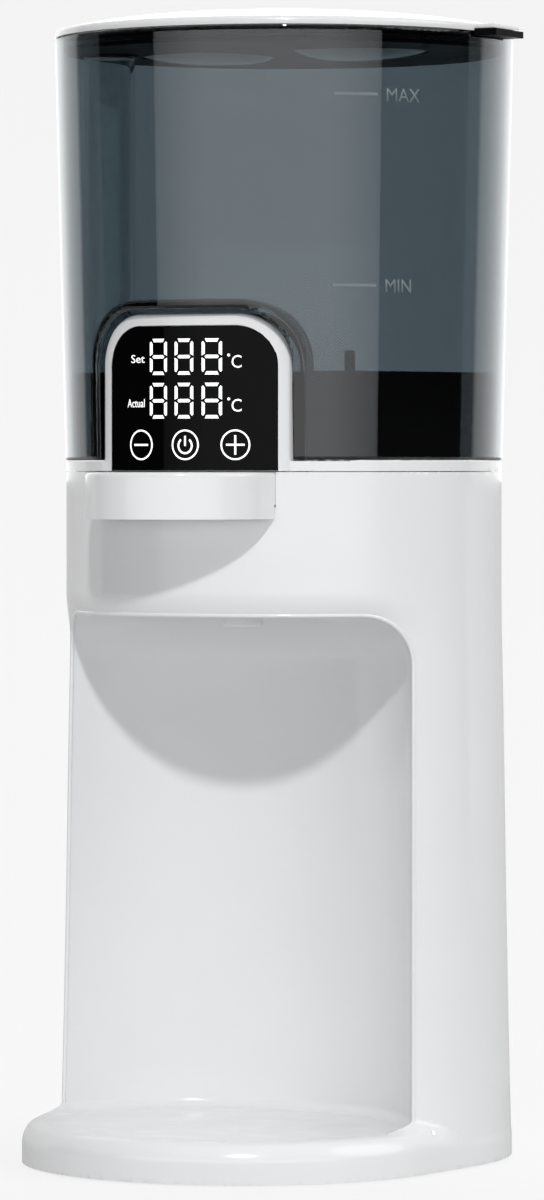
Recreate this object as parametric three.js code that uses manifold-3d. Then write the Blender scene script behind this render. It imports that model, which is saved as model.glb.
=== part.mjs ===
// Instant water warmer for feeding bottles: a round tower with a tall bottle alcove, a press lever over the
// alcove, an arched display at the top of the front, and a lift-off water tank with a lid.
// Millimetres, +Z up. The tower's axis is the construction axis, the front faces -Y. The finished group is moved so
// that the part's origin is the centre of its footprint, on the surface it stands on.
import * as THREE from "three";
import { mergeVertices } from "three/addons/utils/BufferGeometryUtils.js";
import Module from "manifold-3d";

// ---------- driving dimensions ----------
const SEG = 48; // facets of the big round walls
const GAP = 0.3; // between pieces that touch
const WALL = 2.5; // housing wall

// Tower: outer radius at each height, with a slight flare to the foot.
const TOWER = [
  [84.0, 1.0],
  [82.6, 57],
  [80.8, 167],
  [80.0, 195],
  [80.0, 251.1],
];
const SEAM_Z = 251.1; // top edge of the tower wall
const DECK_Z = 251.4; // underside of the deck
const DECK_TOP = 254.4;
const COLLAR_TOP = 255.0;
const COLLAR_R = 80.0;

// Foot: hull of the tower's round and a second round in front of it.
const FOOT_FRONT_Y = -32.1;
const FOOT_FRONT_R = 80.6;
const FOOT_BACK_R = 84.0;
const PLATFORM_Z = 15.5;
const FOOT_PROFILE = [
  [0, 1.0],
  [0, 7.3],
  [0.46, 10.3],
  [1.6, 12.7],
  [3.0, 14.4],
  [4.3, PLATFORM_Z],
]; // inset from the outline, height

// Bottle alcove.
const ALCOVE_Y = -71.4; // centre of the concave back wall
const ALCOVE_R = 79;
const ALCOVE_HALF = 70;
const ALCOVE_TOP = 200;
const ALCOVE_CORNER = 18;

// Rear cover.
const COVER_FROM = 122; // degrees from the front, each side
const COVER_LOW = 8;

// Display frame and glass.
const DISPLAY_R = 77.6;
const ARCH_HALF = 38.3;
const ARCH_TOP = 307.6;
const ARCH_CORNER = 18.5;
const ARCH_BACK_Y = -59.5;
const GLASS_HALF = 33.6;
const GLASS_TOP = 303.2;
const GLASS_CORNER = 14.5;
const GLASS_T = 1.8;

// Press lever.
const LEVER_R = 34;
const LEVER_Y = -80;
const LEVER_LOW = 234.4;
const LEVER_SILL = 239.4;
const HINGE_Y = -62;
const HINGE_Z = 245;

// Nozzle.
const NOZZLE_Y = -33;
const NOZZLE_R = 7.7;

// Tank.
const TANK_LOW = 255.3;
const TANK_RIM = 409.4;
const TANK_R_LOW = 80.2;
const TANK_R_RIM = 84.1;
const TANK_WALL = 2.4;
const POCKET_GAP = 1.2;
const CUP_LOW = 255.6;
const CUP_TOP = 287.2;
const OUTLET_Y = 30;

// Lid.
const LID_LOW = 409.8;
const LID_BAND = 412.4;
const LID_TOP = 418.9;
const LID_R = 84.1;
const TRAY_LOW = 404.1;
const TRAY_R = 80.9;

// Column inside the tank.
const COLUMN = [-59.0, -26.1];
const COLUMN_R = 9.5;

// Centre of the footprint, in the tower's own coordinates.
const FOOTPRINT_CENTRE = [3.8, -14.95];

// ---------- solids ----------
const wasm = await Module();
wasm.setup();

// A closed three.js geometry as a solid. Faces are turned outwards if the profile ran the other way.
function solid(geometry) {
  let g = geometry.index ? geometry.toNonIndexed() : geometry.clone();
  for (const name of Object.keys(g.attributes)) if (name !== "position") g.deleteAttribute(name);
  g = mergeVertices(g, 1e-4);
  const make = (flip) => {
    const tri = new Uint32Array(g.index.array);
    if (flip) for (let i = 0; i < tri.length; i += 3) [tri[i + 1], tri[i + 2]] = [tri[i + 2], tri[i + 1]];
    return new wasm.Manifold(
      new wasm.Mesh({ numProp: 3, vertProperties: new Float32Array(g.attributes.position.array), triVerts: tri }),
    );
  };
  const m = make(false);
  return m.volume() < 0 ? make(true) : m;
}

function toGeometry(m) {
  const mesh = m.getMesh();
  const pos = new Float32Array((mesh.vertProperties.length / mesh.numProp) * 3);
  for (let i = 0, j = 0; i < mesh.vertProperties.length; i += mesh.numProp, j += 3)
    for (let k = 0; k < 3; k++) pos[j + k] = mesh.vertProperties[i + k];
  const g = new THREE.BufferGeometry();
  g.setAttribute("position", new THREE.BufferAttribute(pos, 3));
  g.setIndex(new THREE.BufferAttribute(new Uint32Array(mesh.triVerts), 1));
  const flat = g.toNonIndexed();
  flat.computeVertexNormals();
  return flat;
}

const join = (...ms) => ms.reduce((a, b) => a.add(b));
const cut = (a, ...ms) => ms.reduce((x, b) => x.subtract(b), a);

// Solid of revolution about +Z from [radius, height] pairs.
function lathe(profile, seg = SEG, x = 0, y = 0) {
  const pts = profile.map(([r, z]) => new THREE.Vector2(r, z));
  const first = pts[0];
  const last = pts[pts.length - 1];
  if (first.x > 0 || last.x > 0) if (first.distanceTo(last) > 1e-9) pts.push(first.clone());
  const g = new THREE.LatheGeometry(pts, seg);
  g.rotateX(Math.PI / 2);
  g.translate(x, y, 0);
  return solid(g);
}
const cyl = (r, z0, z1, x = 0, y = 0, seg = 24) => lathe([[0, z0], [r, z0], [r, z1], [0, z1]], seg, x, y);
const ring = (r0, r1, z0, z1, x = 0, y = 0, seg = 24) =>
  lathe([[r0, z0], [r1, z0], [r1, z1], [r0, z1]], seg, x, y);
function box(x0, x1, y0, y1, z0, z1) {
  const g = new THREE.BoxGeometry(x1 - x0, y1 - y0, z1 - z0);
  g.translate((x0 + x1) / 2, (y0 + y1) / 2, (z0 + z1) / 2);
  return solid(g);
}
// Outline in XY, from z0 up to z1.
function prism(points, z0, z1) {
  const shape = new THREE.Shape(points.map(([x, y]) => new THREE.Vector2(x, y)));
  const g = new THREE.ExtrudeGeometry(shape, { depth: z1 - z0, bevelEnabled: false, steps: 1 });
  g.translate(0, 0, z0);
  return solid(g);
}
// Outline in XZ, from y0 back to y1.
function facePrism(points, y0, y1) {
  const shape = new THREE.Shape(points.map(([x, z]) => new THREE.Vector2(x, z)));
  const g = new THREE.ExtrudeGeometry(shape, { depth: y1 - y0, bevelEnabled: false, steps: 1 });
  g.rotateX(Math.PI / 2); // (x, z, d) to (x, -d, z)
  g.translate(0, y1, 0);
  return solid(g);
}
// Outline in YZ, from x0 to x1.
function sidePrism(points, x0, x1) {
  const shape = new THREE.Shape(points.map(([y, z]) => new THREE.Vector2(y, z)));
  const g = new THREE.ExtrudeGeometry(shape, { depth: x1 - x0, bevelEnabled: false, steps: 1 });
  g.rotateX(Math.PI / 2);
  g.rotateZ(Math.PI / 2);
  g.translate(x0, 0, 0);
  return solid(g);
}
// Rings of equal point count, one above the other.
function loft(rings) {
  const n = rings[0].length;
  const pos = [];
  const put = (...ps) => ps.forEach((p) => pos.push(...p));
  for (let k = 0; k + 1 < rings.length; k++)
    for (let i = 0; i < n; i++) {
      const j = (i + 1) % n;
      put(rings[k][i], rings[k][j], rings[k + 1][j]);
      put(rings[k][i], rings[k + 1][j], rings[k + 1][i]);
    }
  const middle = (r) => r.reduce((a, p) => [a[0] + p[0] / n, a[1] + p[1] / n, a[2] + p[2] / n], [0, 0, 0]);
  const low = rings[0];
  const high = rings[rings.length - 1];
  const a = middle(low);
  const b = middle(high);
  for (let i = 0; i < n; i++) {
    const j = (i + 1) % n;
    put(a, low[j], low[i]);
    put(b, high[i], high[j]);
  }
  const g = new THREE.BufferGeometry();
  g.setAttribute("position", new THREE.Float32BufferAttribute(pos, 3));
  return solid(g);
}
// Annular sector in plan between two angles from the front, in degrees.
function sector(r0, r1, from, to, z0, z1) {
  const n = Math.max(2, Math.ceil((to - from) / 6));
  const p = [];
  for (let i = 0; i <= n; i++) p.push(polar(r1, from + ((to - from) * i) / n));
  for (let i = n; i >= 0; i--) p.push(polar(r0, from + ((to - from) * i) / n));
  return prism(p, z0, z1);
}
function polar(r, deg) {
  const t = (deg * Math.PI) / 180;
  return [r * Math.sin(t), -r * Math.cos(t)];
}
const towerR = (z) => {
  for (let i = 0; i + 1 < TOWER.length; i++) {
    const [r0, z0] = TOWER[i];
    const [r1, z1] = TOWER[i + 1];
    if (z <= z1) return r0 + ((r1 - r0) * Math.max(0, z - z0)) / (z1 - z0);
  }
  return TOWER[TOWER.length - 1][0];
};
// The tower's solid round, inset all round, between two heights.
function tower(inset, z0, z1) {
  const p = [[0, z0], [towerR(z0) - inset, z0]];
  for (const [r, z] of TOWER) if (z > z0 + 1e-6 && z < z1 - 1e-6) p.push([r - inset, z]);
  p.push([towerR(z1) - inset, z1], [0, z1]);
  return lathe(p);
}
// One ring of the foot's outline, inset by d, at height z.
function footRing(d, z) {
  const out = [];
  const turn = Math.asin((FOOT_BACK_R - FOOT_FRONT_R) / FOOT_FRONT_Y);
  for (let i = 0; i < SEG; i++) {
    const t = (2 * Math.PI * i) / SEG;
    const front = Math.sin(t) < Math.sin(turn) - 1e-9;
    const r = (front ? FOOT_FRONT_R : FOOT_BACK_R) - d;
    out.push([r * Math.cos(t), (front ? FOOT_FRONT_Y : 0) + r * Math.sin(t), z]);
  }
  return out;
}
// Arch outline: straight sides, round top corners.
function arch(half, z0, top, corner, n = 5) {
  const p = [[-half, z0], [half, z0]];
  for (let i = 0; i <= n; i++) {
    const t = (Math.PI / 2) * (i / n);
    p.push([half - corner + corner * Math.cos(t), top - corner + corner * Math.sin(t)]);
  }
  for (let i = 0; i <= n; i++) {
    const t = Math.PI / 2 + (Math.PI / 2) * (i / n);
    p.push([-half + corner + corner * Math.cos(t), top - corner + corner * Math.sin(t)]);
  }
  return p;
}
// A tube along straight and curved runs: outer and inner radius.
function hose(path, steps, r1, r0, sides = 7) {
  const circle = (r, P) => {
    const p = new P();
    for (let i = 0; i <= sides; i++) {
      const t = (2 * Math.PI * i) / sides;
      const q = [r * Math.cos(t), r * Math.sin(t)];
      if (i) p.lineTo(...q);
      else p.moveTo(...q);
    }
    return p;
  };
  const shape = circle(r1, THREE.Shape);
  if (r0) shape.holes.push(circle(r0, THREE.Path));
  return solid(new THREE.ExtrudeGeometry(shape, { steps, extrudePath: path, bevelEnabled: false, curveSegments: 1 }));
}
const V = (x, y, z) => new THREE.Vector3(x, y, z);
function run(a, b, c, d, e, f) {
  const path = new THREE.CurvePath();
  path.add(new THREE.LineCurve3(a, b));
  path.add(new THREE.CubicBezierCurve3(b, c, d, e));
  path.add(new THREE.LineCurve3(e, f));
  return path;
}
class Coil extends THREE.Curve {
  constructor(x, y, z0, z1, r, turns) {
    super();
    Object.assign(this, { x, y, z0, z1, r, turns });
  }
  getPoint(t, target = new THREE.Vector3()) {
    const a = 2 * Math.PI * this.turns * t;
    return target.set(
      this.x + this.r * Math.cos(a),
      this.y + this.r * Math.sin(a),
      this.z0 + (this.z1 - this.z0) * t,
    );
  }
}
const coil = (x, y, z0, z1, r, turns, wire) =>
  hose(new Coil(x, y, z0 + wire * 1.1, z1 - wire * 1.1, r, turns), turns * 9, wire, 0, 4);

// ---------- materials ----------
const mat = (color, roughness, metalness = 0, extra = {}) =>
  new THREE.MeshStandardMaterial({ color, roughness, metalness, ...extra });
const white = () => mat(0xf1f2f3, 0.18);
const dark = () => mat(0x0b0c0d, 0.15);
const smoke = () => mat(0x5a6870, 0.05, 0, { transparent: true, opacity: 0.35 });
const rubber = () => mat(0x2a2b2c, 0.8);
const steel = () => mat(0xb9bcc0, 0.35, 1);
const silicone = () => mat(0xdfe3e4, 0.5);
const board = () => mat(0x1f5a37, 0.5);

const root = new THREE.Group();
const tankGroup = new THREE.Group();
const lidGroup = new THREE.Group();
tankGroup.add(lidGroup);
root.add(tankGroup);
root.position.set(-FOOTPRINT_CENTRE[0], -FOOTPRINT_CENTRE[1], 0);
function add(name, m, material, group = root) {
  const mesh = new THREE.Mesh(toGeometry(m), material);
  mesh.name = name;
  group.add(mesh);
  return mesh;
}

// ---------- housing ----------
// Plan of the alcove: concave back, straight sides, open to the front.
function alcovePlan(r, half) {
  const p = [];
  const a = Math.asin(half / r);
  const n = 12;
  for (let i = 0; i <= n; i++) {
    const t = -a + (2 * a * i) / n;
    p.push([r * Math.sin(t), ALCOVE_Y + r * Math.cos(t)]);
  }
  p.push([half, -150], [-half, -150]);
  return p;
}
const alcove = prism(alcovePlan(ALCOVE_R, ALCOVE_HALF), PLATFORM_Z, ALCOVE_TOP + 1).intersect(
  facePrism(arch(ALCOVE_HALF, PLATFORM_Z, ALCOVE_TOP, ALCOVE_CORNER, 4), -151, 60),
);
const alcoveSkin = prism(alcovePlan(ALCOVE_R + WALL, ALCOVE_HALF + WALL), PLATFORM_Z - WALL, ALCOVE_TOP + WALL + 1).intersect(
  facePrism(arch(ALCOVE_HALF + WALL, PLATFORM_Z - WALL, ALCOVE_TOP + WALL, ALCOVE_CORNER + WALL, 3), -151, 60),
);
const foot = loft(FOOT_PROFILE.map(([d, z]) => footRing(d, z)));
const footHollow = loft(
  [
    [WALL, 0.5],
    [WALL, 7.3],
    [WALL + 0.8, 10.2],
    [WALL + 3.2, PLATFORM_Z - WALL],
  ].map(([d, z]) => footRing(d, z)),
);
const flange = (side) => {
  // Rebate strip behind the rear cover's edge.
  const a = side > 0 ? [116, 130] : [230, 244];
  const b = side > 0 ? [116, 121.6] : [238.4, 244];
  const strip = cut(tower(WALL + GAP, 12, 246), tower(WALL + 2.9, 11, 247));
  const root2 = cut(tower(1.2, 12, 246), tower(WALL + 2.9, 11, 247));
  return join(
    strip.intersect(sector(60, 95, a[0], a[1], 12, 246)),
    root2.intersect(sector(60, 95, b[0], b[1], 12, 246)),
  );
};
const SCREWS_FRONT = [
  [-24, -94],
  [24, -94],
];
const SCREWS_BACK = [polar(77.0, 106), polar(77.0, -106)];
const HEATER = [-25, 36];
const PUMP = [32, 46];
const BRACKET_Y = 14; // front face of the heater's bracket
const BOARD_Y = 14; // front face of the control board
const BRACKET_SCREWS = [-42, -8];
const BOARD_SCREWS = [14, 52];
const yCyl = (r, y0, y1, x, z, seg = 12) => {
  const g = new THREE.CylinderGeometry(r, r, y1 - y0, seg);
  g.translate(x, (y0 + y1) / 2, z);
  return solid(g);
};
const xCyl = (r, x0, x1, y, z, seg = 12) => {
  const g = new THREE.CylinderGeometry(r, r, x1 - x0, seg);
  g.rotateZ(Math.PI / 2);
  g.translate((x0 + x1) / 2, y, z);
  return solid(g);
};
const radialScrewPlace = (m, deg, z, r) => {
  // From a screw along +Z with its head's top at z = 0 to one whose head faces out of the round wall.
  const [x, y] = polar(r, deg);
  return m
    .transform([1, 0, 0, 0, 0, 1, 0, 0, 0, 0, 1, 0, 0, 0, 0, 1])
    .rotate([90, 0, deg])
    .translate([x, y, z]);
};
// Screw with a flat head: head's top at z = 0, shank down to -length.
const screw = (length, head = 3.1, headH = 1.1, shank = 1.3) =>
  lathe([[0, -length], [shank * 0.7, -length], [shank, -length + 1], [shank, -headH], [head, -headH], [head, 0], [0, 0]], 8);
const screwHole = (length) =>
  lathe([[0, -length - 0.6], [1.65, -length - 0.6], [1.65, -1.45], [3.5, -1.45], [3.5, 6], [0, 6]], 8);
const REAR_SCREWS = [126, -126];
const REAR_SCREW_Z = 32;

{
  let shell = join(tower(0, 1.0, SEAM_Z), foot);
  shell = cut(shell, alcove);
  const hollow = cut(join(tower(WALL, 0.5, 260), footHollow), alcoveSkin);
  shell = cut(shell, hollow);
  shell = cut(shell, sector(68, 95, COVER_FROM, 360 - COVER_FROM, COVER_LOW, 260));
  shell = join(shell, flange(1), flange(-1));
  // Lever opening, nozzle hole.
  shell = cut(shell, box(-LEVER_R - GAP, LEVER_R + GAP, -95, -60, LEVER_SILL - 1.3, 260));
  shell = cut(shell, cyl(NOZZLE_R + GAP, 190, 210, 0, NOZZLE_Y, 16));
  // Bosses.
  for (const [x, y] of SCREWS_FRONT) shell = join(shell, cyl(4.5, 4.8, PLATFORM_Z - 1, x, y, 10));
  for (const [x, y] of SCREWS_BACK) shell = join(shell, cyl(4.5, 4.8, 20, x, y, 10).intersect(tower(1, 1, 30)));
  for (const [x, y] of [...SCREWS_FRONT, ...SCREWS_BACK]) shell = cut(shell, cyl(1.65, 4, 12.5, x, y, 8));
  const wallY = (x) => ALCOVE_Y + Math.sqrt((ALCOVE_R + 1) ** 2 - x * x);
  for (const x of BRACKET_SCREWS) shell = join(shell, yCyl(4, wallY(x) - 0.5, BRACKET_Y - GAP, x, 143, 10));
  for (const x of BOARD_SCREWS) shell = join(shell, yCyl(3.5, wallY(x) - 0.5, BOARD_Y - GAP, x, 145, 10));
  for (const x of BRACKET_SCREWS) shell = cut(shell, yCyl(1.65, wallY(x) + 1.7, 20, x, 143, 8));
  for (const x of BOARD_SCREWS) shell = cut(shell, yCyl(1.65, wallY(x) + 1.7, 20, x, 145, 8));
  for (const deg of REAR_SCREWS)
    shell = cut(shell, radialScrewPlace(screwHole(8), deg, REAR_SCREW_Z, towerR(REAR_SCREW_Z)));
  shell = cut(shell, alcove);
  add("front_shell", shell, white());
}
{
  let cover = cut(tower(0, COVER_LOW + GAP, SEAM_Z), tower(WALL, COVER_LOW, SEAM_Z + 1));
  cover = cover.intersect(sector(60, 95, COVER_FROM + 0.25, 360 - COVER_FROM - 0.25, 0, 260));
  cover = cut(cover, box(-13.8, 13.8, 60, 95, 19.2, 38.8));
  for (const deg of REAR_SCREWS)
    cover = cut(cover, radialScrewPlace(screwHole(8), deg, REAR_SCREW_Z, towerR(REAR_SCREW_Z)));
  add("rear_cover", cover, white());
}
REAR_SCREWS.forEach((deg, i) =>
  add(`rear_screw_${i + 1}`, radialScrewPlace(screw(6.5), deg, REAR_SCREW_Z, towerR(REAR_SCREW_Z) - 0.3), steel()),
);
{
  let plate = loft([footRing(WALL + GAP, 1.5), footRing(WALL + GAP, 4.5)]);
  for (const [x, y] of [...SCREWS_FRONT, ...SCREWS_BACK])
    plate = cut(plate, cyl(1.65, 0, 6, x, y, 8), cyl(3.5, 0, 3.0, x, y, 8));
  for (const [x, y] of footSpots()) plate = cut(plate, cyl(8.4, 0, 2.7, x, y, 16));
  for (let i = 0; i < 5; i++) plate = cut(plate, box(-22, 22, -22 + 9 * i, -18.6 + 9 * i, 0, 6));
  // Cradle of the pump.
  plate = join(plate, ring(14.4, 16.4, 4.2, 12, PUMP[0], PUMP[1], 20));
  add("base_plate", plate, mat(0xe6e7e8, 0.5));
}
function footSpots() {
  return [
    [-50, -76],
    [50, -76],
    [-50, 50],
    [50, 50],
  ];
}
["foot_front_left", "foot_front_right", "foot_rear_left", "foot_rear_right"].forEach((name, i) => {
  const [x, y] = footSpots()[i];
  add(name, lathe([[0, 0], [7.4, 0], [8, 0.6], [8, 2.4], [0, 2.4]], 16, x, y), rubber());
});
[...SCREWS_FRONT, ...SCREWS_BACK].forEach(([x, y], i) =>
  add(`base_screw_${i + 1}`, screw(9).rotate([180, 0, 0]).translate([x, y, 1.7]), steel()),
);

// ---------- deck, collar ring and display frame: one moulding ----------
{
  let deck = join(
    cyl(COLLAR_R, DECK_Z, DECK_TOP, 0, 0, SEG),
    ring(78.2, COLLAR_R, DECK_Z, COLLAR_TOP, 0, 0, SEG),
    cut(ring(74.9, 77.1, 246.5, DECK_Z + 0.5, 0, 0, SEG), sector(60, 90, -34, 34, 240, 251.3)),
  );
  // The display stands a little behind the tower's wall, so the collar stops at each side of it.
  const round = cyl(DISPLAY_R, DECK_Z, 320, 0, 0, SEG);
  deck = cut(deck, box(-ARCH_HALF, ARCH_HALF, -95, -60, DECK_Z - 0.1, 260).subtract(cyl(DISPLAY_R, 245, 262, 0, 0, SEG)));
  deck = join(deck, facePrism(arch(ARCH_HALF, DECK_Z, ARCH_TOP, ARCH_CORNER), -95, ARCH_BACK_Y).intersect(round));
  // Recess of the glass, then the hollow behind it.
  deck = cut(
    deck,
    facePrism(arch(GLASS_HALF + GAP, DECK_Z - 3, GLASS_TOP + GAP, GLASS_CORNER + GAP), -95, -60).subtract(
      cyl(DISPLAY_R - GLASS_T - GAP, 200, 330, 0, 0, SEG),
    ),
    facePrism(arch(GLASS_HALF - 1.8, DECK_TOP, GLASS_TOP - 1.8, GLASS_CORNER - 1.8), -95, ARCH_BACK_Y - WALL),
    box(-10, 10, -72.5, -65, 250, 256),
    cyl(7.3, 245, 258, 0, OUTLET_Y, 20),
  );
  // Bearing blocks of the lever's pin.
  for (const s of [-1, 1]) {
    const x0 = s > 0 ? 34.5 : -38.8;
    deck = join(deck, box(x0, x0 + 4.3, HINGE_Y - 4, HINGE_Y + 4, HINGE_Z - 4, DECK_Z + 0.5));
  }
  deck = cut(deck, xCyl(1.9, -37.8, 37.8, HINGE_Y, HINGE_Z, 16));
  add("top_deck", deck, white());
}
{
  const g = facePrism(arch(GLASS_HALF, DECK_Z + 0.3, GLASS_TOP, GLASS_CORNER), -95, -60)
    .intersect(cyl(DISPLAY_R, 200, 330, 0, 0, SEG))
    .subtract(cyl(DISPLAY_R - GLASS_T, 200, 330, 0, 0, SEG));
  add("display_glass", g, mat(0x060708, 0.05));
}
{
  const p = facePrism(
    [[-30, 256], [30, 256], [30, 290], [27, 296], [21, 299.5], [-21, 299.5], [-27, 296], [-30, 290]],
    -68.6,
    -67.0,
  );
  const chip = (x0, x1, z0, z1, t) => box(x0, x1, -67.2, -67 + t, z0, z1);
  add("display_board", join(p, chip(-8, 8, 272, 284, 1.6), chip(14, 22, 262, 268, 2), chip(-22, -12, 260, 264, 2.4)), board());
}
add("digit_module", box(-15.5, 15.5, -73.2, -68.9, 268.6, 299.2), mat(0x15171a, 0.4));

// ---------- press lever ----------
{
  const plan = (r, back) => {
    const p = [];
    for (let i = 0; i <= 16; i++) {
      const t = Math.PI + (Math.PI * i) / 16;
      p.push([r * Math.cos(t), LEVER_Y + r * Math.sin(t)]);
    }
    p.push([r, back], [-r, back]);
    return p;
  };
  let lever = join(
    prism(plan(LEVER_R, -66), LEVER_LOW, SEAM_Z - 1.2),
    loft([plan(LEVER_R, -66).map((q) => [...q, SEAM_Z - 1.2]), plan(LEVER_R - 0.9, -66).map((q) => [...q, SEAM_Z])]),
  );
  lever = cut(lever, prism(plan(LEVER_R - 2.2, -50), LEVER_LOW + 2.2, SEAM_Z - 2.3));
  // Below its opening in the wall, the lever ends just in front of the wall.
  lever = cut(lever, cyl(80.9, LEVER_LOW - 5, LEVER_SILL, 0, 0, 96));
  for (const s of [-1, 1]) {
    const x0 = s > 0 ? 31.8 : -34;
    lever = join(lever, box(x0, x0 + 2.2, -66.5, -56, 240.5, 249.6));
  }
  lever = join(
    lever,
    box(-32.5, 32.5, -58, -56, 240.5, 246),
    box(-8, 8, -57, -43, 241.4, 244),
  );
  lever = cut(lever, xCyl(1.9, -40, 40, HINGE_Y, HINGE_Z, 16));
  add("dispense_lever", lever, white());
}
add("lever_pin", xCyl(1.55, -37.4, 37.4, HINGE_Y, HINGE_Z, 16), steel());
add("lever_spring", coil(0, -51, 244.3, 251.1, 2.6, 4, 0.35), steel());
add(
  "lever_switch",
  join(box(-7, 7, -46.5, -40, 246.4, 251.1), box(-1.2, 1.2, -45, -43.2, 245.2, 247)),
  mat(0x202123, 0.5),
);

// ---------- water path ----------
add(
  "nozzle",
  lathe(
    [[2.6, 195], [6.6, 195], [7.5, 195.6], [NOZZLE_R, 196.6], [NOZZLE_R, 202.8], [10.5, 202.8], [10.5, 204.8], [3.2, 204.8], [3.2, 212], [2.0, 212], [2.0, 206], [2.6, 204]],
    16, 0, NOZZLE_Y,
  ),
  white(),
);
{
  // Outlet socket under the tank: a cup with a fixed pin in its middle.
  let s = lathe([[0, 246.9], [7, 246.9], [7, 254.2], [4.6, 254.2], [4.6, 249.2], [0, 249.2]], 16, 0, OUTLET_Y);
  s = join(s, ring(6.5, 10.5, 248.8, 251.1, 0, OUTLET_Y, 16), cyl(3, 232, 247.2, 0, OUTLET_Y, 10), cyl(1.5, 248, 255.9, 0, OUTLET_Y, 8));
  s = cut(s, ring(1.7, 3.6, 248, 250, 0, OUTLET_Y, 8).subtract(box(-5, 5, OUTLET_Y - 0.9, OUTLET_Y + 0.9, 240, 260)), cyl(1.7, 231, 248.5, 0, OUTLET_Y, 8));
  add("deck_outlet", s, mat(0xd9dbdc, 0.4));
}
add("outlet_seal", ring(7.7, 11, 254.7, 255.3, 0, OUTLET_Y, 20), silicone());
{
  const [x, y] = PUMP;
  let p = lathe([[0, 5], [13.9, 5], [13.9, 44], [17, 45], [17, 61], [15, 62.5], [0, 62.5]], 20, x, y);
  p = join(p, cyl(3, 62, 71, x - 8, y, 12), cyl(3, 62, 71, x + 8, y, 12));
  p = cut(p, cyl(1.6, 58, 72, x - 8, y, 8), cyl(1.6, 58, 72, x + 8, y, 8));
  add("pump", p, mat(0x3a3c3f, 0.45));
}
{
  const [x, y] = HEATER;
  let h = lathe([[0, 98], [12, 98], [17, 101], [17, 182], [12, 186], [0, 186]], 18, x, y);
  h = join(h, cyl(3, 185, 196, x, y, 12), xCyl(3, x + 15, x + 25, y, 106, 12));
  h = cut(h, cyl(1.6, 180, 197, x, y, 8), xCyl(1.6, x + 12, x + 26, y, 106, 8));
  add("heater", h, mat(0x9c9fa3, 0.3, 1));
}
{
  const [x, y] = HEATER;
  let b = box(-48, -2, BRACKET_Y, BRACKET_Y + 2, 118, 172);
  for (const z of [122, 162])
    b = join(b, cut(join(ring(17.4, 19.3, z, z + 6, x, y, 18), box(x - 9, x + 9, BRACKET_Y + 1, y - 17.6, z, z + 6)), cyl(17.4, 100, 190, x, y, 18)));
  for (const sx of BRACKET_SCREWS) b = cut(b, yCyl(1.65, 0, 30, sx, 143));
  add("heater_bracket", b, steel());
}
BRACKET_SCREWS.forEach((x, i) =>
  add(`bracket_screw_${i + 1}`, screw(7, 2.8).rotate([-90, 0, 0]).translate([x, BRACKET_Y + 3.4, 143]), steel()),
);
{
  let b = box(6, 60, BOARD_Y, BOARD_Y + 1.6, 96, 192);
  b = join(
    b,
    box(30, 50, BOARD_Y + 1, BOARD_Y + 15, 104, 124),
    box(12, 26, BOARD_Y + 1, BOARD_Y + 11, 158, 176),
    yCyl(5, BOARD_Y + 1, BOARD_Y + 12, 52, 172, 12),
    box(34, 44, BOARD_Y + 1, BOARD_Y + 4, 160, 170),
    box(9, 21, BOARD_Y + 1, BOARD_Y + 8, 104, 112),
  );
  for (const x of BOARD_SCREWS) b = cut(b, yCyl(1.65, 0, 30, x, 145));
  add("control_board", b, board());
}
BOARD_SCREWS.forEach((x, i) =>
  add(`board_screw_${i + 1}`, screw(7, 2.8).rotate([-90, 0, 0]).translate([x, BOARD_Y + 3, 145]), steel()),
);
add(
  "nozzle_hose",
  hose(
    run(V(HEATER[0], HEATER[1], 187), V(HEATER[0], HEATER[1], 200), V(HEATER[0], HEATER[1], 236), V(0, NOZZLE_Y, 238), V(0, NOZZLE_Y, 214), V(0, NOZZLE_Y, 205.4)),
    13, 5, 3.7,
  ),
  silicone(),
);
add(
  "suction_hose",
  hose(
    run(V(0, OUTLET_Y, 246.2), V(0, OUTLET_Y, 230), V(2, OUTLET_Y + 4, 170), V(PUMP[0] + 8, PUMP[1], 170), V(PUMP[0] + 8, PUMP[1], 90), V(PUMP[0] + 8, PUMP[1], 63)),
    13, 5, 3.7,
  ),
  silicone(),
);
add(
  "pump_hose",
  hose(
    run(V(PUMP[0] - 8, PUMP[1], 63), V(PUMP[0] - 8, PUMP[1], 76), V(PUMP[0] - 8, PUMP[1], 100), V(18, HEATER[1], 106), V(6, HEATER[1], 106), V(HEATER[0] + 17.6, HEATER[1], 106)),
    12, 5, 3.7,
  ),
  silicone(),
);
{
  // Two-pin appliance socket, its face just inside the cover's round.
  let s = join(box(-13, 13, 66, 81.6, 20, 38), box(-16, 16, 74.5, 77, 16.5, 41.5));
  const eight = join(yCyl(4.3, 69, 90, -4.2, 29, 16), yCyl(4.3, 69, 90, 4.2, 29, 16), box(-4.2, 4.2, 69, 90, 24.7, 33.3));
  s = cut(s, eight);
  s = join(s, yCyl(1.2, 68, 79, -4.3, 29, 8), yCyl(1.2, 68, 79, 4.3, 29, 8));
  add("power_inlet", s, mat(0x141516, 0.5));
}

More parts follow.
